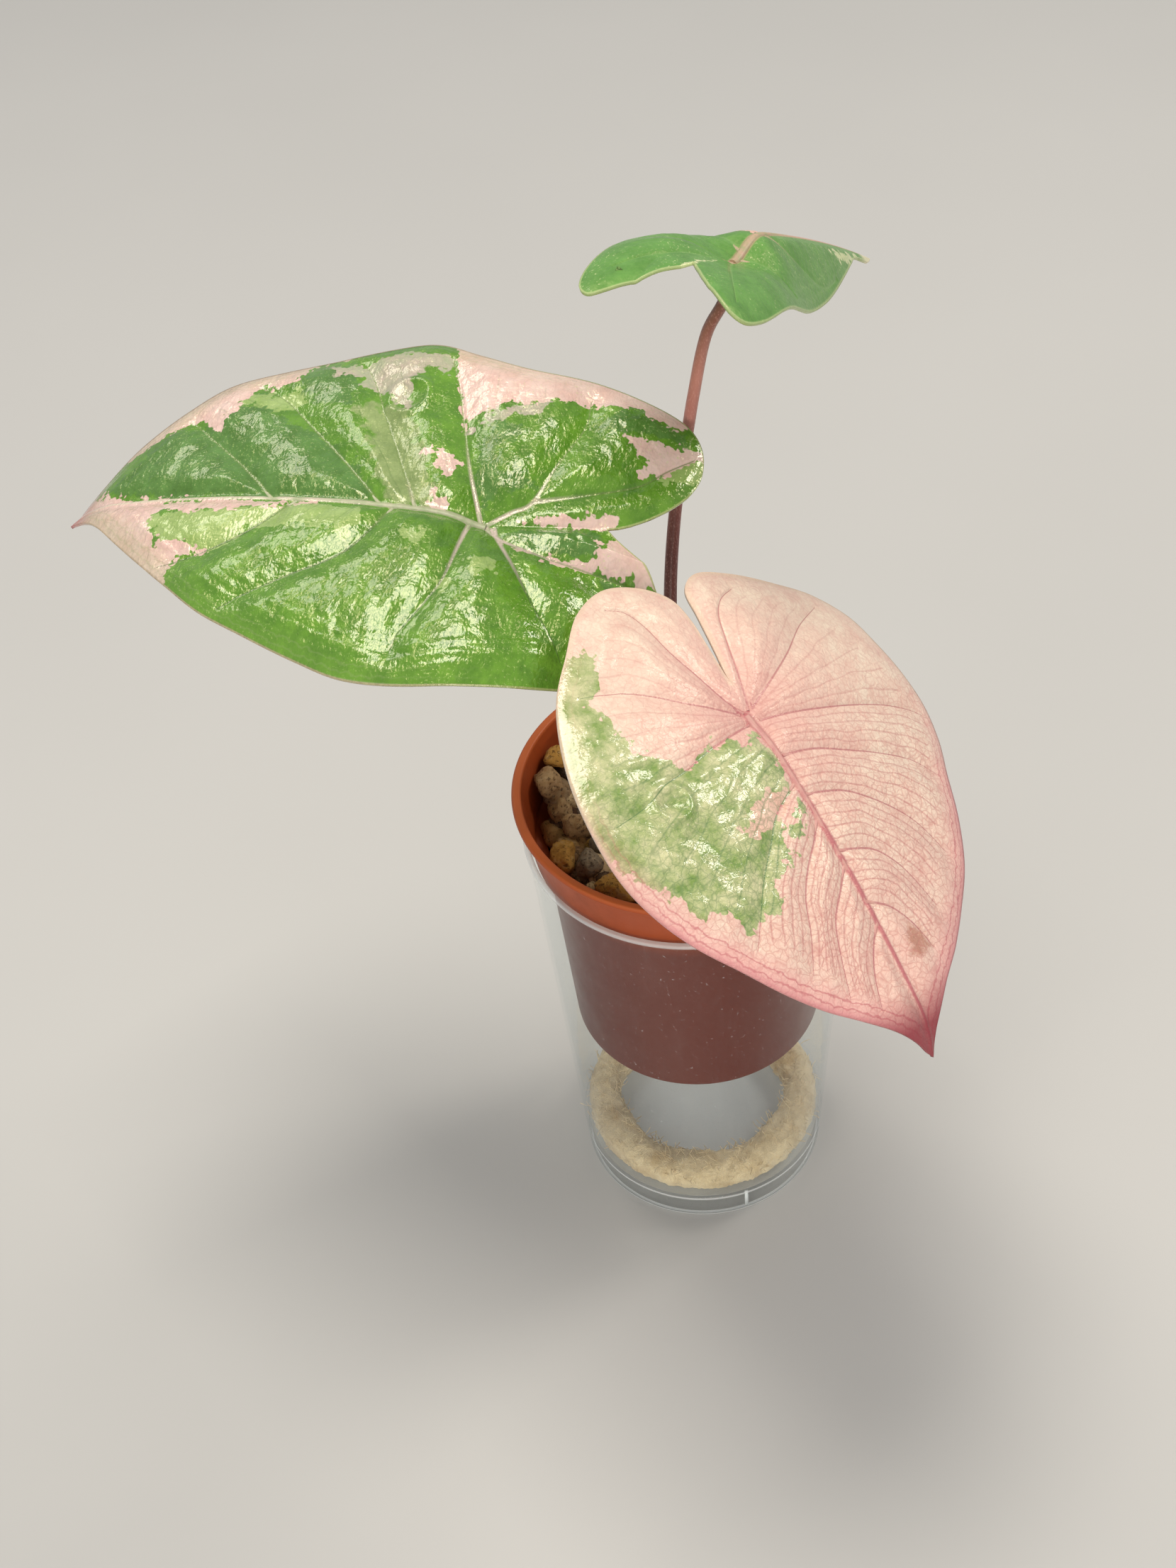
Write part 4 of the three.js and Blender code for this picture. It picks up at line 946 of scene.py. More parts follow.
# What each leaf's skin shows: its ground colours, then its patches in the order that they cover
# each other, with the depth and the softness of their torn edges. Blush and tip run along the leaf,
# heart and hub round its stalk. Each has a colour or two, then sizes in millimetres and a share;
# "net" ends with the width of its cells. "foil" and "bump" are the depth of the creases and cells.
SKINS = {
    "pink": {
        "ground": ("#dcbcae", "#e6d4c2"), "blush": ("#dba9a3", 20.0, 70.0, 0.6),
        "heart": ("#d99f9b", 34.0, 0.7),
        "patches": (
            # The green patch's pale cream tone, mixed in at random, is partly its own colour and partly
            # painted highlight: the glare on the crumpled patch.
            ("green", "#78944c", "#c9c79c", 2.0, 0.15), ("island", "#dcb09f", "#e8c8b6", 1.8, 0.2),
            ("blotch", "#a87567", "#c0907f", 1.6, 1.2),
        ),
        "flecks": ("#efdccb", 0.4), "net": ("#b5706c", 0.5, 1.7), "fine": ("#b16c6e", 0.5),
        "vein": ("#a9606a", "#a9606a", 0.75, 0.42), "midrib": ("#b3656e", 0.9, 1.25),
        "green_lines": "#4f7448",
        "margin": ("#d8c2ac", "#c77f86", 1.4), "lines": ("#b35f69", 0.6), "lines_from": 18.0,
        "band": ("#dd9a9c", 0.5), "hub": ("#b04a58", 3.0, 0.8),
        "tip": ("#85303e", 64.0, 72.0), "under": "#cfa898", "gloss": 0.36, "bump": 0.45, "foil": 2.0,
        "coat": 0.15,
    },
    "left": {
        "ground": ("#4a7823", "#67962f"), "blush": ("#5b8b2c", 0.0, 60.0, 0.3),
        "heart": ("#5b8b2c", 10.0, 0.1),
        "patches": (
            ("dull", "#7c9058", "#93a56c", 2.4, 0.8), ("sage", "#8aa65a", "#a0b873", 1.8, 0.2),
            ("dark", "#47702c", "#5c8742", 1.8, 0.5), ("grey", "#b9aa9c", "#a3a98c", 2.2, 0.3),
            ("pink", "#d8b3aa", "#e2c6bd", 1.6, 0.15),
        ),
        "green_lines": None, "flecks": ("#b4ca7c", 0.5), "net": ("#3d5f24", 0.16, 2.4),
        "fine": ("#466a2c", 0.25),
        # On the left leaf the veins of the right half are paler than those of the left half, and the midrib
        # is whitish: partly their own colour and partly painted highlight on the sunken veins.
        "vein": ("#6c8348", "#3f5a2c", 0.7, 0.62), "midrib": ("#cfc3b0", 0.85, 0.9),
        "margin": ("#9fae6c", "#b9a68c", 0.4), "lines": ("#8d9c6a", 0.2), "lines_from": 0.0,
        "band": ("#6f9440", 0.25), "hub": ("#e2c9c4", 22.0, 0.8),
        "tip": ("#b8646c", 91.0, 98.0), "under": "#7d9a5c", "gloss": 0.17, "bump": 0.5, "foil": 6.0,
        "coat": 0.65,
    },
    "top": {
        "ground": ("#4f8138", "#619546"), "blush": ("#4f7f3a", 0.0, 60.0, 0.3),
        "heart": ("#548a3c", 10.0, 0.1),
        "patches": (
            # The dark patch here is painted shade on the far half of the blade.
            ("dark", "#3d6a33", "#4c7a3e", 1.6, 0.5), ("pink", "#dba79b", "#e5bdb0", 0.8, 0.15),
            ("cream", "#cdd09f", "#dfdcb4", 1.2, 0.2),
        ),
        "green_lines": None, "flecks": ("#cfd8a4", 0.6), "net": ("#8fb06c", 0.2, 2.0),
        "fine": ("#35602a", 0.3),
        "vein": ("#79a05e", "#79a05e", 0.5, 0.5), "midrib": ("#cf9b90", 0.9, 1.15),
        "margin": ("#a9b880", "#a9b880", 0.45), "lines": ("#86a868", 0.2), "lines_from": 0.0,
        "band": ("#5f9145", 0.2), "hub": ("#d9a79b", 3.0, 0.6),
        "tip": ("#d9d0ae", 73.0, 77.0), "under": "#7f9a62", "gloss": 0.36, "bump": 0.4, "foil": 2.5,
        "coat": 0.2,
    },
}


def leaf_skin(name, under):
    """Waxy living leaf: patches of chlorophyll with torn edges, a net of veins, glossy cuticle."""
    look = SKINS[name]
    material, tree, shader = new_material(f"leaf_{name}_{'underside' if under else 'upper'}")
    leaf = add(tree, "ShaderNodeAttribute", attribute_name="leaf").outputs["Vector"]
    along, aside = add(tree, "ShaderNodeSeparateXYZ", {0: leaf}).outputs[:2]
    edge, midrib = (
        add(tree, "ShaderNodeAttribute", attribute_name=field).outputs["Fac"] for field in ("edge", "midrib")
    )

    def beside_line(field):
        """Distance to the nearest vein; its sign changes at a vein, and also far from any."""
        fields = (field, f"{field}_near")
        side, near = (add(tree, "ShaderNodeAttribute", attribute_name=key).outputs["Fac"] for key in fields)
        apart = add(tree, "ShaderNodeMath", {0: side}, operation="ABSOLUTE")
        far = add(tree, "ShaderNodeMapRange", {0: near, 1: 0.6, 2: 0.8, 3: 0.0, 4: 5.0})
        return add(tree, "ShaderNodeMath", {0: apart, 1: far}, operation="ADD")

    vein, fine = beside_line("vein"), beside_line("fine")

    # The noise scales are per millimetre of leaf: torn patch edges about 3 mm and islets 1 mm,
    # mottling 6 mm, flecks of paler tissue 0.3 to 1 mm.
    torn, mottle, specks = (
        add(
            tree, "ShaderNodeTexNoise",
            {"Vector": leaf, "Scale": scale, "Detail": detail, "Roughness": rough},
        )
        for scale, detail, rough in ((0.3, 2.2, 0.5), (0.17, 6.0, 0.65), (1.6, 3.0, 0.6))
    )
    islets = add(tree, "ShaderNodeTexNoise", {"Vector": leaf, "Scale": 0.95, "Detail": 1.5})
    spread = add(tree, "ShaderNodeMapRange", {0: mottle, 1: 0.36, 2: 0.64})
    ground, ground_light = (linear(tone) for tone in look["ground"])
    colour = add(tree, "ShaderNodeMix", {0: spread, 6: ground, 7: ground_light}, data_type="RGBA").outputs[2]
    blush_tone, blush_start, blush_end, blush_share = look["blush"]
    blush = add(tree, "ShaderNodeMapRange", {0: along, 1: blush_start, 2: blush_end, 3: 0.0, 4: blush_share})
    out = add(tree, "ShaderNodeVectorMath", {0: leaf}, operation="LENGTH").outputs["Value"]
    heart_tone, heart_size, heart_share = look["heart"]
    heart = add(tree, "ShaderNodeMapRange", {0: out, 1: 0.0, 2: heart_size, 3: heart_share, 4: 0.0})
    layers = [(blush, linear(blush_tone)), (heart, linear(heart_tone))]
    masks = {}
    for patch, tone, light, jag, soft in look["patches"]:
        depth = add(tree, "ShaderNodeAttribute", attribute_name=f"patch_{patch}").outputs["Fac"]
        shift = add(tree, "ShaderNodeMapRange", {0: torn, 1: 0.25, 2: 0.75, 3: -jag, 4: jag})
        islet = add(tree, "ShaderNodeMapRange", {0: islets, 1: 0.3, 2: 0.7, 3: -0.6, 4: 0.6})
        shifted = add(tree, "ShaderNodeMath", {0: shift, 1: islet}, operation="ADD")
        inside = add(tree, "ShaderNodeMath", {0: depth, 1: shifted}, operation="ADD")
        masks[patch] = add(tree, "ShaderNodeMapRange", {0: inside, 1: -soft, 2: soft})
        dark, pale = linear(tone), linear(light)
        inner = add(tree, "ShaderNodeMix", {0: spread, 6: dark, 7: pale}, data_type="RGBA").outputs[2]
        layers.append((masks[patch], inner))

    # The flecks gather in drifts.
    fleck_tone, fleck_share = look["flecks"]
    drifts = add(tree, "ShaderNodeTexNoise", {"Vector": leaf, "Scale": 0.09, "Detail": 2.0})
    speck = add(tree, "ShaderNodeMapRange", {0: specks, 1: 0.6, 2: 0.66, 3: 0.0, 4: fleck_share})
    drift = add(tree, "ShaderNodeMapRange", {0: drifts, 1: 0.45, 2: 0.6})
    fleck = add(tree, "ShaderNodeMath", {0: speck, 1: drift}, operation="MULTIPLY")
    layers.append((fleck, linear(fleck_tone)))

    def line_tone(tone):
        """The colour of a line, which turns green inside the green patch."""
        if look["green_lines"] is None:
            return tone
        mixed = {0: masks["green"], 6: tone, 7: linear(look["green_lines"])}
        return add(tree, "ShaderNodeMix", mixed, data_type="RGBA").outputs[2]

    # The net of small veins, in cells of about 2 mm with smaller ones inside
    net_tone, net_share, net_cell = look["net"]
    wander = add(tree, "ShaderNodeTexNoise", {"Vector": leaf, "Scale": 0.5, "Detail": 2.0})
    wandering = {0: wander.outputs["Color"], 1: (1.8, 1.8, 0.0)}
    sway = add(tree, "ShaderNodeVectorMath", wandering, operation="MULTIPLY")
    swayed = add(tree, "ShaderNodeVectorMath", {0: leaf, 1: sway}, operation="ADD")
    nets = []
    for cell, width, weight in ((net_cell, 0.11, 1.0), (0.5 * net_cell, 0.12, 0.5)):
        grid = {"Vector": swayed, "Scale": 1 / cell}
        apart = add(tree, "ShaderNodeTexVoronoi", grid, feature="DISTANCE_TO_EDGE")
        share = weight * net_share
        nets.append(add(tree, "ShaderNodeMapRange", {0: apart, 1: 0.0, 2: width, 3: share, 4: 0.0}))
    net = add(tree, "ShaderNodeMath", {0: nets[0], 1: nets[1]}, operation="MAXIMUM")
    stronger = add(tree, "ShaderNodeMapRange", {0: along, 1: -15.0, 2: 25.0, 3: 0.4, 4: 1.0})
    net = add(tree, "ShaderNodeMath", {0: net, 1: stronger}, operation="MULTIPLY")
    layers.append((net, line_tone(linear(net_tone))))

    fine_tone, fine_share = look["fine"]
    line = add(tree, "ShaderNodeMapRange", {0: fine, 1: 0.06, 2: 0.3, 3: fine_share, 4: 0.0})
    line = add(tree, "ShaderNodeMath", {0: line, 1: stronger}, operation="MULTIPLY")
    layers.append((line, line_tone(linear(fine_tone))))

    # A band and two lines along the margin, which grow towards the tip
    start, end = look["lines_from"] - 15, look["lines_from"] + 15
    grown = add(tree, "ShaderNodeMapRange", {0: along, 1: start, 2: end, 3: 0.12, 4: 1.0})
    band_tone, band_share = look["band"]
    band = add(tree, "ShaderNodeMapRange", {0: edge, 1: 1.5, 2: 6.0, 3: band_share, 4: 0.0})
    band = add(tree, "ShaderNodeMath", {0: band, 1: grown}, operation="MULTIPLY")
    layers.append((band, linear(band_tone)))
    unsteady = add(tree, "ShaderNodeMapRange", {0: wander, 1: 0.2, 2: 0.8, 3: -0.6, 4: 0.6})
    inner_edge = add(tree, "ShaderNodeMath", {0: edge, 1: unsteady}, operation="ADD")
    lines_tone, lines_share = look["lines"]
    for away in (1.4, 3.0):
        apart = add(tree, "ShaderNodeMath", {0: inner_edge, 1: away}, operation="SUBTRACT")
        apart = add(tree, "ShaderNodeMath", {0: apart}, operation="ABSOLUTE")
        line = add(tree, "ShaderNodeMapRange", {0: apart, 1: 0.08, 2: 0.26, 3: lines_share, 4: 0.0})
        line = add(tree, "ShaderNodeMath", {0: line, 1: grown}, operation="MULTIPLY")
        layers.append((line, linear(lines_tone)))
    *margin_tones, margin_width = look["margin"]
    back, front = (linear(tone) for tone in margin_tones)
    rim_tone = add(tree, "ShaderNodeMix", {0: grown, 6: back, 7: front}, data_type="RGBA").outputs[2]
    rim = add(tree, "ShaderNodeMapRange", {0: edge, 1: 0.2, 2: margin_width, 3: 0.8, 4: 0.0})
    layers.append((rim, rim_tone))

    *vein_tones, vein_share, width = look["vein"]
    right, left = (linear(tone) for tone in vein_tones)
    # Veins take one tone on the right half and one on the left; on the left leaf the paler right-half tone
    # is partly painted highlight.
    to_left = add(tree, "ShaderNodeMapRange", {0: aside, 1: 4.0, 2: 9.0})
    vein_tone = add(tree, "ShaderNodeMix", {0: to_left, 6: right, 7: left}, data_type="RGBA").outputs[2]
    line = add(tree, "ShaderNodeMapRange", {0: vein, 1: 0.3 * width, 2: width, 3: vein_share, 4: 0.0})
    layers.append((line, line_tone(vein_tone)))
    # Round the stalk the veins take the colour of the stalk's own sap.
    hub_tone, hub_size, hub_share = look["hub"]
    near = add(tree, "ShaderNodeMapRange", {0: out, 1: 0.2 * hub_size, 2: hub_size, 3: hub_share, 4: 0.0})
    beside = add(tree, "ShaderNodeMapRange", {0: vein, 1: 0.15, 2: 0.75, 3: 1.0, 4: 0.0})
    hub = add(tree, "ShaderNodeMath", {0: near, 1: beside}, operation="MULTIPLY")
    layers.append((hub, linear(hub_tone)))
    midrib_tone, share, width = look["midrib"]
    line = add(tree, "ShaderNodeMapRange", {0: midrib, 1: 0.4 * width, 2: width, 3: share, 4: 0.0})
    layers.append((line, linear(midrib_tone)))
    tip_tone, tip_start, tip_end = look["tip"]
    tip = add(tree, "ShaderNodeMapRange", {0: along, 1: tip_start, 2: tip_end, 3: 0.0, 4: 0.9})
    layers.append((tip, linear(tip_tone)))
    if under:
        layers.append((0.55, linear(look["under"])))
    for share, tone in layers:
        colour = add(tree, "ShaderNodeMix", {0: share, 6: colour, 7: tone}, data_type="RGBA").outputs[2]
    tree.links.new(colour, shader.inputs["Base Color"])

    gloss = 0.5 if under else look["gloss"]
    glossy = {0: specks, 1: 0.35, 2: 0.65, 3: gloss - 0.05, 4: gloss + 0.12}
    rough = add(tree, "ShaderNodeMapRange", glossy)
    tree.links.new(rough.outputs[0], shader.inputs["Roughness"])
    shader.inputs["IOR"].default_value = 1.47
    # The wax is faintly yellow, so its glare is cream.
    shader.inputs["Specular Tint"].default_value = linear("#fff0bd")
    shader.inputs["Coat Weight"].default_value = 0.0 if under else look["coat"]
    shader.inputs["Coat Roughness"].default_value = 0.1
    if "green" in masks and not under:
        coat = add(tree, "ShaderNodeMapRange", {0: masks["green"], 3: look["coat"], 4: 0.8})
        tree.links.new(coat.outputs[0], shader.inputs["Coat Weight"])
    leaf_relief(tree, shader, look, leaf, swayed, net, masks.get("green"))
    return material


def leaf_relief(tree, shader, look, leaf, swayed, net, green):
    """The relief of a leaf's skin: cells between the small veins, creases, and the wax over them."""
    # Skin cells of about 0.8 mm stand up a little between the small veins.
    grid = {"Vector": swayed, "Scale": 1.25, "Smoothness": 0.6}
    cells = add(tree, "ShaderNodeTexVoronoi", grid, feature="SMOOTH_F1")
    crinkle = add(tree, "ShaderNodeTexNoise", {"Vector": leaf, "Scale": 0.9, "Detail": 3.0})
    raised = add(tree, "ShaderNodeMath", {0: crinkle, 1: cells}, operation="SUBTRACT")
    sunk = add(tree, "ShaderNodeMath", {0: raised, 1: net}, operation="SUBTRACT")
    # Sharp creases as in crumpled foil, 2 to 3 mm apart and longer across the leaf
    pulled = add(tree, "ShaderNodeMapping", {0: leaf, "Scale": (1.0, 0.5, 1.0)})
    foil = add(
        tree, "ShaderNodeTexNoise", {"Vector": pulled, "Scale": 0.42, "Detail": 3.0, "Roughness": 0.55}
    )
    foil = add(tree, "ShaderNodeMath", {0: foil, 1: 0.5}, operation="SUBTRACT")
    foil = add(tree, "ShaderNodeMath", {0: foil}, operation="ABSOLUTE")
    foil = add(tree, "ShaderNodeMath", {0: foil, 1: look["foil"]}, operation="MULTIPLY")
    if green is not None:
        crumpled = add(tree, "ShaderNodeMapRange", {0: green, 1: 0.0, 2: 1.0, 3: 1.0, 4: 3.0})
        foil = add(tree, "ShaderNodeMath", {0: foil, 1: crumpled}, operation="MULTIPLY")
    relief = add(tree, "ShaderNodeMath", {0: sunk, 1: foil}, operation="SUBTRACT")
    # The wax over the cells is smoother than the cells.
    for strength, normal in ((look["bump"], "Normal"), (0.35 * look["bump"], "Coat Normal")):
        bump = add(tree, "ShaderNodeBump", {"Height": relief, "Strength": strength, "Distance": 0.2 * MM})
        tree.links.new(bump.outputs[0], shader.inputs[normal])


def plain_rib(name):
    """Raised vein under a leaf: smooth, paler than the blade, a little waxy."""
    material, tree, shader = new_material(f"rib_{name}")
    place = add(tree, "ShaderNodeTexCoord").outputs["Object"]
    streaks = add(tree, "ShaderNodeTexNoise", {"Vector": place, "Scale": 700.0, "Detail": 3.0})
    pale, tone = linear(SKINS[name]["midrib"][0]), linear(SKINS[name]["under"])
    colour = add(tree, "ShaderNodeMix", {0: streaks, 6: pale, 7: tone}, data_type="RGBA").outputs[2]
    tree.links.new(colour, shader.inputs["Base Color"])
    shader.inputs["Roughness"].default_value = 0.45
    return material


def studio_floor():
    """Matt painted board, pale grey: the table that the cup stands on."""
    material, tree, shader = new_material("painted_board")
    place = add(tree, "ShaderNodeTexCoord").outputs["Object"]
    grain = add(tree, "ShaderNodeTexNoise", {"Vector": place, "Scale": 6.0, "Detail": 3.0})
    grey, pale = linear("#bab9b7"), linear("#c0bfbd")
    colour = add(tree, "ShaderNodeMix", {0: grain, 6: grey, 7: pale}, data_type="RGBA").outputs[2]
    tree.links.new(colour, shader.inputs["Base Color"])
    shader.inputs["Roughness"].default_value = 0.6
    return material


class CupSettings(bpy.types.PropertyGroup):
    """Sizes of the clear cup and its felt ring."""

    steps: bpy.props.IntProperty(
        name="Facets", description="Facets round the cup and pot", default=192, min=48, max=360
    )
    fibres: bpy.props.IntProperty(
        name="Loose fibres", description="Stray fibres on the felt ring", default=900, min=0, max=4000
    )
    fibre_thickness: bpy.props.FloatProperty(
        name="Fibre thickness", description="Thickness of a stray fibre", default=0.00009,
        min=0.00002, max=0.0005, subtype="DISTANCE", unit="LENGTH", precision=5,
    )


class PlantSettings(bpy.types.PropertyGroup):
    """Sizes of the leaves and stalks."""

    blade_thickness: bpy.props.FloatProperty(
        name="Blade thickness", description="Thickness of a leaf blade", default=BLADE["thickness"] * MM,
        min=0.0002, max=0.003, subtype="DISTANCE", unit="LENGTH", precision=4,
    )
    rib_size: bpy.props.FloatProperty(
        name="Midrib size", description="Radius of the midrib under a blade", default=0.0011,
        min=0.0002, max=0.004, subtype="DISTANCE", unit="LENGTH", precision=4,
    )


class StageSettings(bpy.types.PropertyGroup):
    """The floor, light and camera."""

    floor_size: bpy.props.FloatProperty(
        name="Floor size", description="Width of the floor", default=12.0, min=1.0, max=50.0,
        subtype="DISTANCE", unit="LENGTH",
    )
    sky_strength: bpy.props.FloatProperty(
        name="Sky strength", description="Strength of the light from all round", default=0.44,
        min=0.0, max=5.0,
    )
    sky_colour: bpy.props.FloatVectorProperty(
        name="Sky colour", description="Colour of the light from all round", default=linear("#f2f4f6")[:3],
        size=3, subtype="COLOR", min=0.0, max=1.0,
    )


class PLANT_OT_stage(bpy.types.Operator):
    """Makes the floor, the studio lights and the camera"""

    bl_idname = "alocasia.stage"
    bl_label = "Stage"

    def execute(self, context):
        settings = context.scene.alocasia_stage
        bm = bmesh.new()
        bmesh.ops.create_grid(bm, x_segments=1, y_segments=1, size=settings.floor_size / 2)
        mesh = mesh_from(bm)
        mesh.materials.append(studio_floor())
        floor = bpy.data.objects.new("floor", mesh)
        context.scene.collection.objects.link(floor)

        world = bpy.data.worlds.new("studio")
        world.use_nodes = True
        background = world.node_tree.nodes["Background"]
        background.inputs["Color"].default_value = (*settings.sky_colour, 1.0)
        background.inputs["Strength"].default_value = settings.sky_strength
        context.scene.world = world

        target = Vector(in_metres((0.0, 0.0, 150.0)))
        # Name, place in metres from the plant's middle, width in metres, power in watts
        for name, away, width, power in (
            ("key", (-0.1, 0.12, 1.25), 0.5, 10.5),
            ("back", (-0.52, 0.62, 0.95), 0.32, 2.2),
            ("front", (-0.9, -1.1, 0.8), 1.0, 4.2),
            ("right", (0.81, 0.4, 0.86), 0.28, 4.6),
            ("low", (0.1, -1.0, 0.05), 0.5, 4.6),
        ):
            lamp = bpy.data.lights.new(name, "AREA")
            lamp.size = width
            lamp.energy = power
            lamp.color = linear("#fff8ec")[:3]
            light = bpy.data.objects.new(name, lamp)
            context.scene.collection.objects.link(light)
            light.location = target + Vector(away)
            light.rotation_euler = (-Vector(away)).to_track_quat("-Z", "Y").to_euler()

        camera_data = bpy.data.cameras.new("camera")
        camera = bpy.data.objects.new("camera", camera_data)
        context.scene.collection.objects.link(camera)
        image_height = 2212
        focal_pixels = 3175.8
        camera_data.sensor_fit = "AUTO"
        camera_data.sensor_width = 36.0
        camera_data.lens = focal_pixels * camera_data.sensor_width / image_height
        camera_data.clip_start = 0.01
        # The camera was fitted to the rims of the pot and the cup: its turn, tilt and roll in degrees.
        yaw, pitch, roll = (math.radians(angle) for angle in (-3.608, 45.014, -5.202))
        ahead = Vector((
            math.sin(yaw) * math.cos(pitch), math.cos(yaw) * math.cos(pitch), -math.sin(pitch),
        ))
        level = Vector((math.cos(yaw), -math.sin(yaw), 0.0))
        upright = level.cross(ahead)
        right = level * math.cos(roll) + upright * math.sin(roll)
        upward = upright * math.cos(roll) - level * math.sin(roll)
        turned = Matrix((right, upward, -ahead)).transposed()
        place = Vector(in_metres((0.0, -376.68, 511.27)))
        camera.matrix_world = Matrix.Translation(place) @ turned.to_4x4()
        context.scene.camera = camera
        context.scene.view_settings.view_transform = "Standard"
        context.scene.view_settings.look = "None"
        return {"FINISHED"}


class PLANT_OT_cup(bpy.types.Operator):
    """Makes the clear cup with its bead rim, floor and foot skirt"""

    bl_idname = "alocasia.cup"
    bl_label = "Clear cup"

    def execute(self, context):
        rim, foot, height, wall = CUP["rim"], CUP["foot"], CUP["height"], CUP["wall"]
        skirt, floor_top = CUP["skirt"], CUP["skirt"] + CUP["floor"]

        def outer(z):
            """The cup's outer radius at a height."""
            return foot + (rim - foot) * z / height

        profile = [
            (0.0, skirt - 0.4), (1.3, skirt - 0.4), (1.5, skirt),
            (outer(skirt) - wall - 0.2, skirt), (outer(6) - wall - 0.1, 5.6),
            (outer(0) - wall - 0.1, 0.0), (outer(0), 0.0), (outer(3), 3.0),
            (outer(height - 1.6), height - 1.6), (rim + CUP["bead"], height - 0.9),
            (rim + 0.5, height + 0.2), (rim - wall + 0.3, height + 0.3), (rim - wall + 0.03, height - 0.5),
            (outer(floor_top + 3) - wall, floor_top + 3), (outer(floor_top) - wall, floor_top),
            (0.0, floor_top),
        ]
        mesh = spin_profile(rounded(profile, 0.5), context.scene.alocasia_cup.steps)
        finish_piece("clear_cup_wall", mesh, ("clear_cup",), clear_polystyrene())

        # One short upright rib stands inside the skirt, at the front.
        turn, middle, rib_size = math.radians(-70.5), 3.7, (0.7, 0.9, 6.2)
        bm = bmesh.new()
        bmesh.ops.create_cube(bm, size=1.0)
        away = outer(middle) - wall - 0.2
        place = Vector(in_metres((away * math.cos(turn), away * math.sin(turn), middle)))
        bmesh.ops.scale(bm, vec=Vector(rib_size) * MM, verts=bm.verts)
        bmesh.ops.rotate(bm, matrix=Matrix.Rotation(turn, 3, "Z"), verts=bm.verts)
        bmesh.ops.translate(bm, vec=place, verts=bm.verts)
        finish_piece("cup_skirt_rib", mesh_from(bm), (), frosted_polystyrene())
        return {"FINISHED"}


class PLANT_OT_felt(bpy.types.Operator):
    """Makes the felt ring with its stray fibres"""

    bl_idname = "alocasia.felt"
    bl_label = "Felt ring"

    def execute(self, context):
        settings = context.scene.alocasia_cup
        around, along = 40, 260
        bm = bmesh.new()
        made = bmesh.ops.create_grid(bm, x_segments=along, y_segments=around, size=0.5)
        bottom = CUP["skirt"] + CUP["floor"] + 0.1
        for vertex in made["verts"]:
            turn = (vertex.co.x + 0.5) * 2 * math.pi
            round_turn = (vertex.co.y + 0.5) * 2 * math.pi
            kink = FELT["kink"] * math.cos(FELT["kinks"] * turn + 0.6) + 0.3 * math.cos(2 * turn)
            sideways, upward = math.cos(round_turn), math.sin(round_turn)
            lumps = Vector((math.cos(turn) * 5 + sideways, math.sin(turn) * 5, upward))
            swell = 1
            for share, scale in ((0.1, 2.2), (0.09, 7), (0.05, 19)):
                swell += share * noise.noise(lumps * scale)
            radius = FELT["radius"] + FELT["half_width"] * swell * sideways + kink * max(0, -sideways)
            squared = math.copysign(abs(upward) ** 0.75, upward)
            height = FELT["height"] / 2 * (1 + squared * min(swell, 1.12)) * (1 + 0.05 * math.sin(5 * turn))
            height = bottom + max(height, 0)
            vertex.co = in_metres((radius * math.cos(turn), radius * math.sin(turn), height))
        bmesh.ops.remove_doubles(bm, verts=bm.verts, dist=1e-6)
        bmesh.ops.recalc_face_normals(bm, faces=bm.faces)
        felt = cotton_felt()
        ring = finish_piece("felt_ring_wadding", mesh_from(bm), ("felt_ring",), felt)

        dice = Dice(5)
        fibres = []
        for _ in range(settings.fibres):
            turn = 2 * math.pi * dice.roll()
            round_turn = math.pi * (0.02 + 0.96 * dice.roll())
            radius = FELT["radius"] + FELT["half_width"] * math.cos(round_turn)
            height = bottom + FELT["height"] / 2 * (1 + math.sin(round_turn))
            start = Vector((radius * math.cos(turn), radius * math.sin(turn), height))
            heading = Vector((dice.roll() - 0.5, dice.roll() - 0.5, 0.35 * dice.roll())).normalized()
            length = 1.2 + 2.4 * dice.roll()
            bend = Vector((dice.roll() - 0.5, dice.roll() - 0.5, dice.roll() - 0.4)) * 1.6
            line = [start + heading * length * t + bend * t * (1 - t) * 2 for t in (0, 0.3, 0.65, 1)]
            fibres.append((np.array(line), [settings.fibre_thickness / MM] * 4))
        finish_piece("felt_ring_fibres", tube_mesh(fibres, sides=0), (), felt)
        return {"FINISHED"}


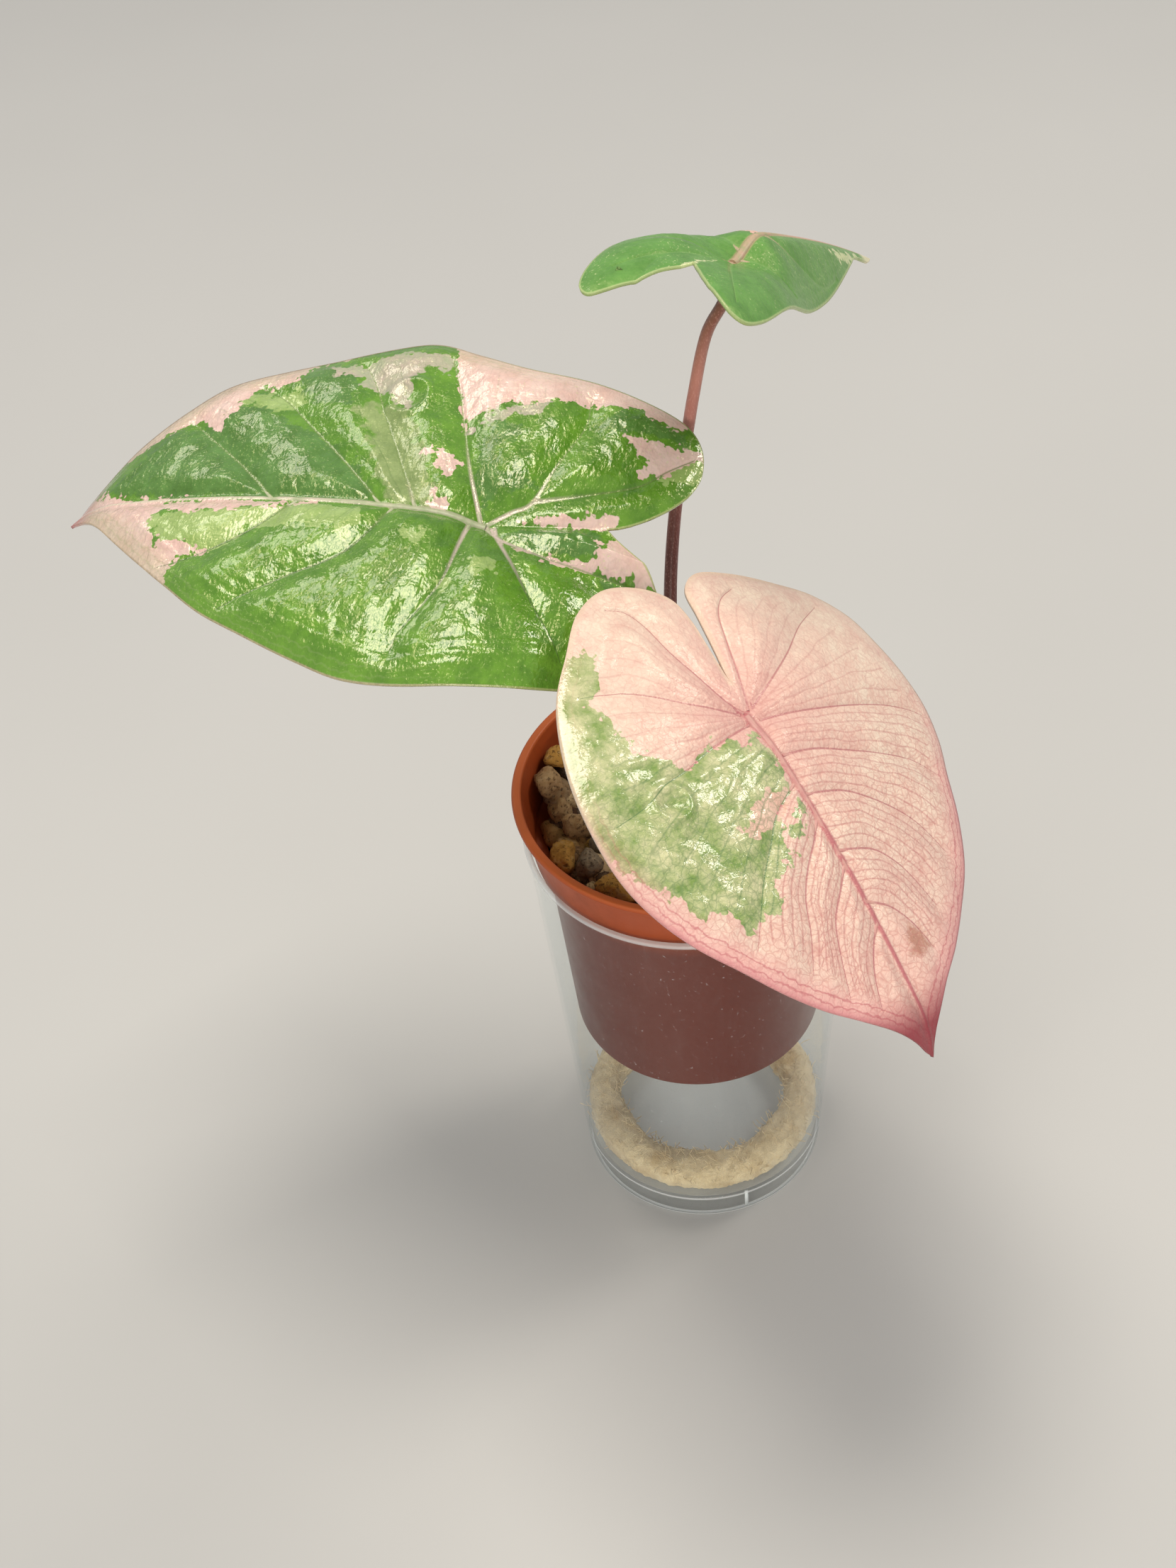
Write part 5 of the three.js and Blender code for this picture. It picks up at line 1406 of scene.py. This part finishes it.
class PLANT_OT_pot(bpy.types.Operator):
    """Makes the nursery pot with its collar, flange and drain holes"""

    bl_idname = "alocasia.pot"
    bl_label = "Nursery pot"

    def execute(self, context):
        base, rim, wall, shoulder = POT["base"], POT["rim"], POT["wall"], POT["shoulder"]
        base_radius, shoulder_radius, flange_radius = (
            POT[part] for part in ("base_radius", "shoulder_radius", "flange_radius")
        )
        floor_top, flange_low = base + POT["floor"], rim - POT["flange"]
        slope = (POT["collar_high"] - POT["collar_low"]) / (flange_low - shoulder - 0.8)

        def collar_inside(z):
            """The collar's inner radius at a height."""
            return POT["collar_low"] - wall + (z - shoulder - 0.8) * slope

        profile = [
            (0.0, base), (base_radius - 0.4, base), (base_radius, base + 0.8),
            (shoulder_radius, shoulder), (POT["collar_low"], shoulder + 0.8),
            (POT["collar_high"], flange_low), (flange_radius, flange_low + 0.15),
            (flange_radius + 0.1, rim - 0.7), (flange_radius - 0.3, rim),
            (collar_inside(rim) + 0.35, rim), (collar_inside(rim), rim - 0.5),
            (collar_inside(shoulder + 1.6), shoulder + 1.6), (shoulder_radius - wall, shoulder + 0.4),
            (base_radius - wall, floor_top + 0.5), (base_radius - wall - 0.4, floor_top),
            (0.0, floor_top),
        ]
        mesh = spin_profile(rounded(profile, 0.45), context.scene.alocasia_cup.steps)
        skin = terracotta_plastic()
        pot = finish_piece("nursery_pot_shell", mesh, ("nursery_pot",), skin)
        self.drill(context, pot)
        return {"FINISHED"}

    def drill(self, context, pot):
        """Cuts the drain holes through the floor."""
        bm = bmesh.new()
        places = [(0.0, 0.0)]
        for k in range(POT["drains"]):
            turn = 2 * math.pi * k / POT["drains"]
            places.append((POT["drain_circle"] * math.cos(turn), POT["drain_circle"] * math.sin(turn)))
        for x, y in places:
            moved = Matrix.Translation(Vector(in_metres((x, y, POT["base"] + 0.6))))
            radius = POT["drain_radius"] * MM
            bmesh.ops.create_cone(
                bm, cap_ends=True, segments=48, radius1=radius, radius2=radius, depth=4 * MM, matrix=moved
            )
        drill = bpy.data.objects.new("drill", mesh_from(bm))
        context.scene.collection.objects.link(drill)
        cut = pot.modifiers.new("drain holes", "BOOLEAN")
        cut.operation = "DIFFERENCE"
        cut.solver = "EXACT"
        cut.object = drill
        drilled = bpy.data.meshes.new_from_object(pot.evaluated_get(context.evaluated_depsgraph_get()))
        pot.modifiers.remove(cut)
        pot.data = drilled
        bpy.data.objects.remove(drill)


class PLANT_OT_grit(bpy.types.Operator):
    """Makes the grit and the loose stones on it"""

    bl_idname = "alocasia.grit"
    bl_label = "Grit"

    def execute(self, context):
        tones = ("#7a5c3e", "#a88455", "#5f4a38", "#b98f4d", "#8d7558", "#4b3a30", "#9a6a34", "#bfa57e")
        bm = bmesh.new()
        bm.verts.layers.float.new("shade")
        dice = Dice(GRIT["seed"])
        shapes = Dice(77)
        mound_x, mound_y = GRIT["mound"]
        # Stones lie up to 2.4 mm from the collar's inside, 3.6 mm up its slope.
        collar_slope, up_slope, edge_gap = 0.1507, 3.6, 2.4
        reach = POT["collar_low"] - POT["wall"] + up_slope * collar_slope - edge_gap
        row_step = GRIT["spacing"] * math.sqrt(0.75)

        def mound(x, y):
            """How much of the mound's height there is at a place."""
            away = (x - mound_x) ** 2 + (y - mound_y) ** 2
            return math.exp(-away / (2 * GRIT["mound_spread"] ** 2))

        def place(x, y, z):
            """Adds a large stone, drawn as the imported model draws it, a little smaller."""
            radius = GRIT["stone"] * (0.85 + 0.3 * dice.roll())
            stretch = (0.9 + 0.3 * dice.roll(), 0.9 + 0.3 * dice.roll(), 0.8 + 0.2 * dice.roll())
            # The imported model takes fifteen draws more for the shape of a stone.
            for _ in range(15):
                dice.roll()
            add_stone(bm, (x, y, z), radius * GRIT["worn"], stretch, 3, shapes.roll(), shapes)

        for row in range(-GRIT["rows"], GRIT["rows"] + 1):
            for column in range(-GRIT["rows"], GRIT["rows"] + 1):
                # Every other row is shifted by half a stone.
                shift = 0.5 if row % 2 else 0
                x = (column + shift) * GRIT["spacing"] + (dice.roll() - 0.5) * GRIT["jitter"]
                y = row * row_step + (dice.roll() - 0.5) * GRIT["jitter"]
                if math.hypot(x, y) > reach:
                    continue
                rise = GRIT["mound_height"] * mound(x, y)
                place(x, y, GRIT["level"] + 0.8 + dice.roll() * 1.2)
                if rise > 3:
                    place(x, y, GRIT["level"] + 0.8 + rise * 0.75)
        # A stone of the bed carries each loose one, a little nearer to the pot's axis.
        inwards = 0.94
        for _, _, (x, y, z), radius, _ in LOOSE_STONES:
            place(x * inwards, y * inwards, z - radius - 0.6)
        # Small chips fill the gaps between the stones.
        for _ in range(GRIT["chips"]):
            away = GRIT["chip_reach"] * math.sqrt(shapes.roll())
            turn = 2 * math.pi * shapes.roll()
            x, y = away * math.cos(turn), away * math.sin(turn)
            height = GRIT["level"] + 1.4 + 2.2 * shapes.roll() + GRIT["mound_height"] * 0.8 * mound(x, y)
            size = 0.9 + 1.1 * shapes.roll()
            add_stone(bm, (x, y, height), size, (1.0, 1.1, 0.9), 2, shapes.roll(), shapes)
        # Stones at the edge lie flat against the pot's wall, which steps out above the shoulder.
        for vertex in bm.verts:
            x, y, z = np.array(vertex.co) / MM - CUP_AXIS
            inside = POT["shoulder_radius"] if z < POT["shoulder"] + 1 else POT["collar_low"]
            inside -= POT["wall"] + 0.4
            away = math.hypot(x, y)
            if away > inside:
                vertex.co = in_metres((x * inside / away, y * inside / away, z))
        finish_piece("grit_stones", mesh_from(bm), ("grit_bed",), porous_stone("mixed_grit", tones))

        # The grit below, which fills the pot up to the shoulder, painted almost black: painted shade in the
        # gaps between the stones over it
        wall, shoulder, floor_top = POT["wall"], POT["shoulder"], POT["base"] + POT["floor"] + 0.3
        plug = [
            (0.0, floor_top), (POT["base_radius"] - wall - 0.7, floor_top + 0.2),
            (POT["shoulder_radius"] - wall - 0.35, shoulder - 0.6),
            (POT["shoulder_radius"] - 3, shoulder + 0.6), (0.0, shoulder + 0.8),
        ]
        deep = porous_stone("deep_grit_painted_shade", ("#2c2119", "#3a2c20"))
        finish_piece("grit_below", spin_profile(plug, steps=96), (), deep)

        named = {
            "grit_tan": porous_stone("tan_pumice", ("#a98a63", "#b3946c")),
            "grit_ochre": porous_stone("ochre_clay", ("#b98a44", "#c69a55")),
            "grit_grey": porous_stone("grey_lava", ("#7d6f5c", "#6a5c4c")),
        }
        for k, (node, slot, centre, radius, stretch) in enumerate(LOOSE_STONES):
            bm = bmesh.new()
            bm.verts.layers.float.new("shade")
            add_stone(bm, centre, radius, stretch, 4, 0.25, Dice(31 + 7 * k))
            finish_piece(f"{node}_worn", mesh_from(bm), (node,), named[slot])
        return {"FINISHED"}


class PLANT_OT_stalks(bpy.types.Operator):
    """Makes the crown, its sheaths and the three stalks"""

    bl_idname = "alocasia.stalks"
    bl_label = "Crown and stalks"

    def execute(self, context):
        skin = plant_stalk()
        sheaths = []
        for name in LEAVES:
            line, length = stalk_line(name)
            shares = np.linspace(0, 1, len(line))
            girths = [STALK[part] for part in ("base", "middle", "tip", "flare")]
            radii = np.interp(shares, (0, 0.4, 0.97, 1.0), girths)
            from_sheath = shares >= (STALK["sheath"] - 3) / length
            mesh = tube_mesh([(line[from_sheath], radii[from_sheath])], sides=6)
            finish_piece(f"stalk_{name}_skin", mesh, (f"stalk_{name}",), skin)
            in_sheath = shares <= STALK["sheath"] / length
            part = shares[in_sheath] * length / STALK["sheath"]
            sheaths.append((line[in_sheath], np.interp(part, (0, 0.9, 1), STALK["sheath_radii"])))
        shares = np.linspace(0, 1, CROWN["rings"])
        heights = CROWN["bottom"] + shares * (CROWN["top"] - CROWN["bottom"])
        corm = np.array([(CROWN["x"], 0.0, height) for height in heights])
        girth = CROWN["radius"] * np.interp(shares, (0, 0.15, 0.5, 0.8, 1), (0.5, 1, 1, 0.75, 0.45))
        mesh = tube_mesh([*sheaths, (corm, girth)], sides=8)
        finish_piece("crown_sheaths", mesh, ("crown",), sheath_skin())
        return {"FINISHED"}


class PLANT_OT_blades(bpy.types.Operator):
    """Makes the three leaf blades and the ribs under them"""

    bl_idname = "alocasia.blades"
    bl_label = "Leaf blades"

    def execute(self, context):
        settings = context.scene.alocasia_plant
        for name, leaf in LEAVES.items():
            slot, node, upper = f"leaf_{name}", f"blade_{name}", leaf_skin(name, under=False)
            mesh = blade_mesh(leaf, PATCHES[name])
            blade = finish_piece(f"{node}_skin", mesh, (node,), upper)
            mesh.materials.append(leaf_skin(name, under=True))
            wall = blade.modifiers.new("thickness", "SOLIDIFY")
            wall.thickness = settings.blade_thickness
            wall.offset = -1
            wall.material_offset = 1
            wall.use_rim = True
            self.ribs(name, leaf, slot, settings.rib_size / MM)
        return {"FINISHED"}

    def ribs(self, name, leaf, slot, size):
        """The midrib and main veins stand out under the blade."""
        tip = leaf["margin_left"][-1][0]
        lines = [(np.array([(u, 0.0) for u in np.linspace(0, tip * 0.96, 60)]), size)]
        lines += [(smooth_line(line), 0.55 * size) for line in (*leaf["veins_left"], *leaf["veins_right"])]
        tubes = []
        for line, thick in lines:
            height = blade_height(leaf, *line.T) - BLADE["thickness"] / 2 - 0.25
            points = on_plant(leaf, line, height)
            tubes.append((points, thick * np.linspace(1, 0.3, len(points))))
        finish_piece(f"ribs_{name}", tube_mesh(tubes, sides=3), (), plain_rib(name))


class PLANT_PT_panel(bpy.types.Panel):
    """Lists the plant's pieces"""

    bl_idname = "PLANT_PT_panel"
    bl_label = "Alocasia"
    bl_space_type = "VIEW_3D"
    bl_region_type = "UI"
    bl_category = "Alocasia"

    def draw(self, context):
        scene = context.scene
        for operator in OPERATORS:
            self.layout.operator(operator.bl_idname)
        for settings in (scene.alocasia_cup, scene.alocasia_plant, scene.alocasia_stage):
            for name in settings.__annotations__:
                self.layout.prop(settings, name)


OPERATORS = (
    PLANT_OT_stage, PLANT_OT_cup, PLANT_OT_felt, PLANT_OT_pot, PLANT_OT_grit, PLANT_OT_stalks,
    PLANT_OT_blades,
)
CLASSES = (CupSettings, PlantSettings, StageSettings, *OPERATORS, PLANT_PT_panel)


def register():
    for cls in CLASSES:
        bpy.utils.register_class(cls)
    bpy.types.Scene.alocasia_cup = bpy.props.PointerProperty(type=CupSettings)
    bpy.types.Scene.alocasia_plant = bpy.props.PointerProperty(type=PlantSettings)
    bpy.types.Scene.alocasia_stage = bpy.props.PointerProperty(type=StageSettings)


def unregister():
    del bpy.types.Scene.alocasia_stage
    del bpy.types.Scene.alocasia_plant
    del bpy.types.Scene.alocasia_cup
    for cls in reversed(CLASSES):
        bpy.utils.unregister_class(cls)


def main():
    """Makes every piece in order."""
    register()
    bpy.ops.alocasia.stage()
    bpy.ops.alocasia.cup()
    bpy.ops.alocasia.felt()
    bpy.ops.alocasia.pot()
    bpy.ops.alocasia.grit()
    bpy.ops.alocasia.stalks()
    bpy.ops.alocasia.blades()


if __name__ == "__main__":
    main()
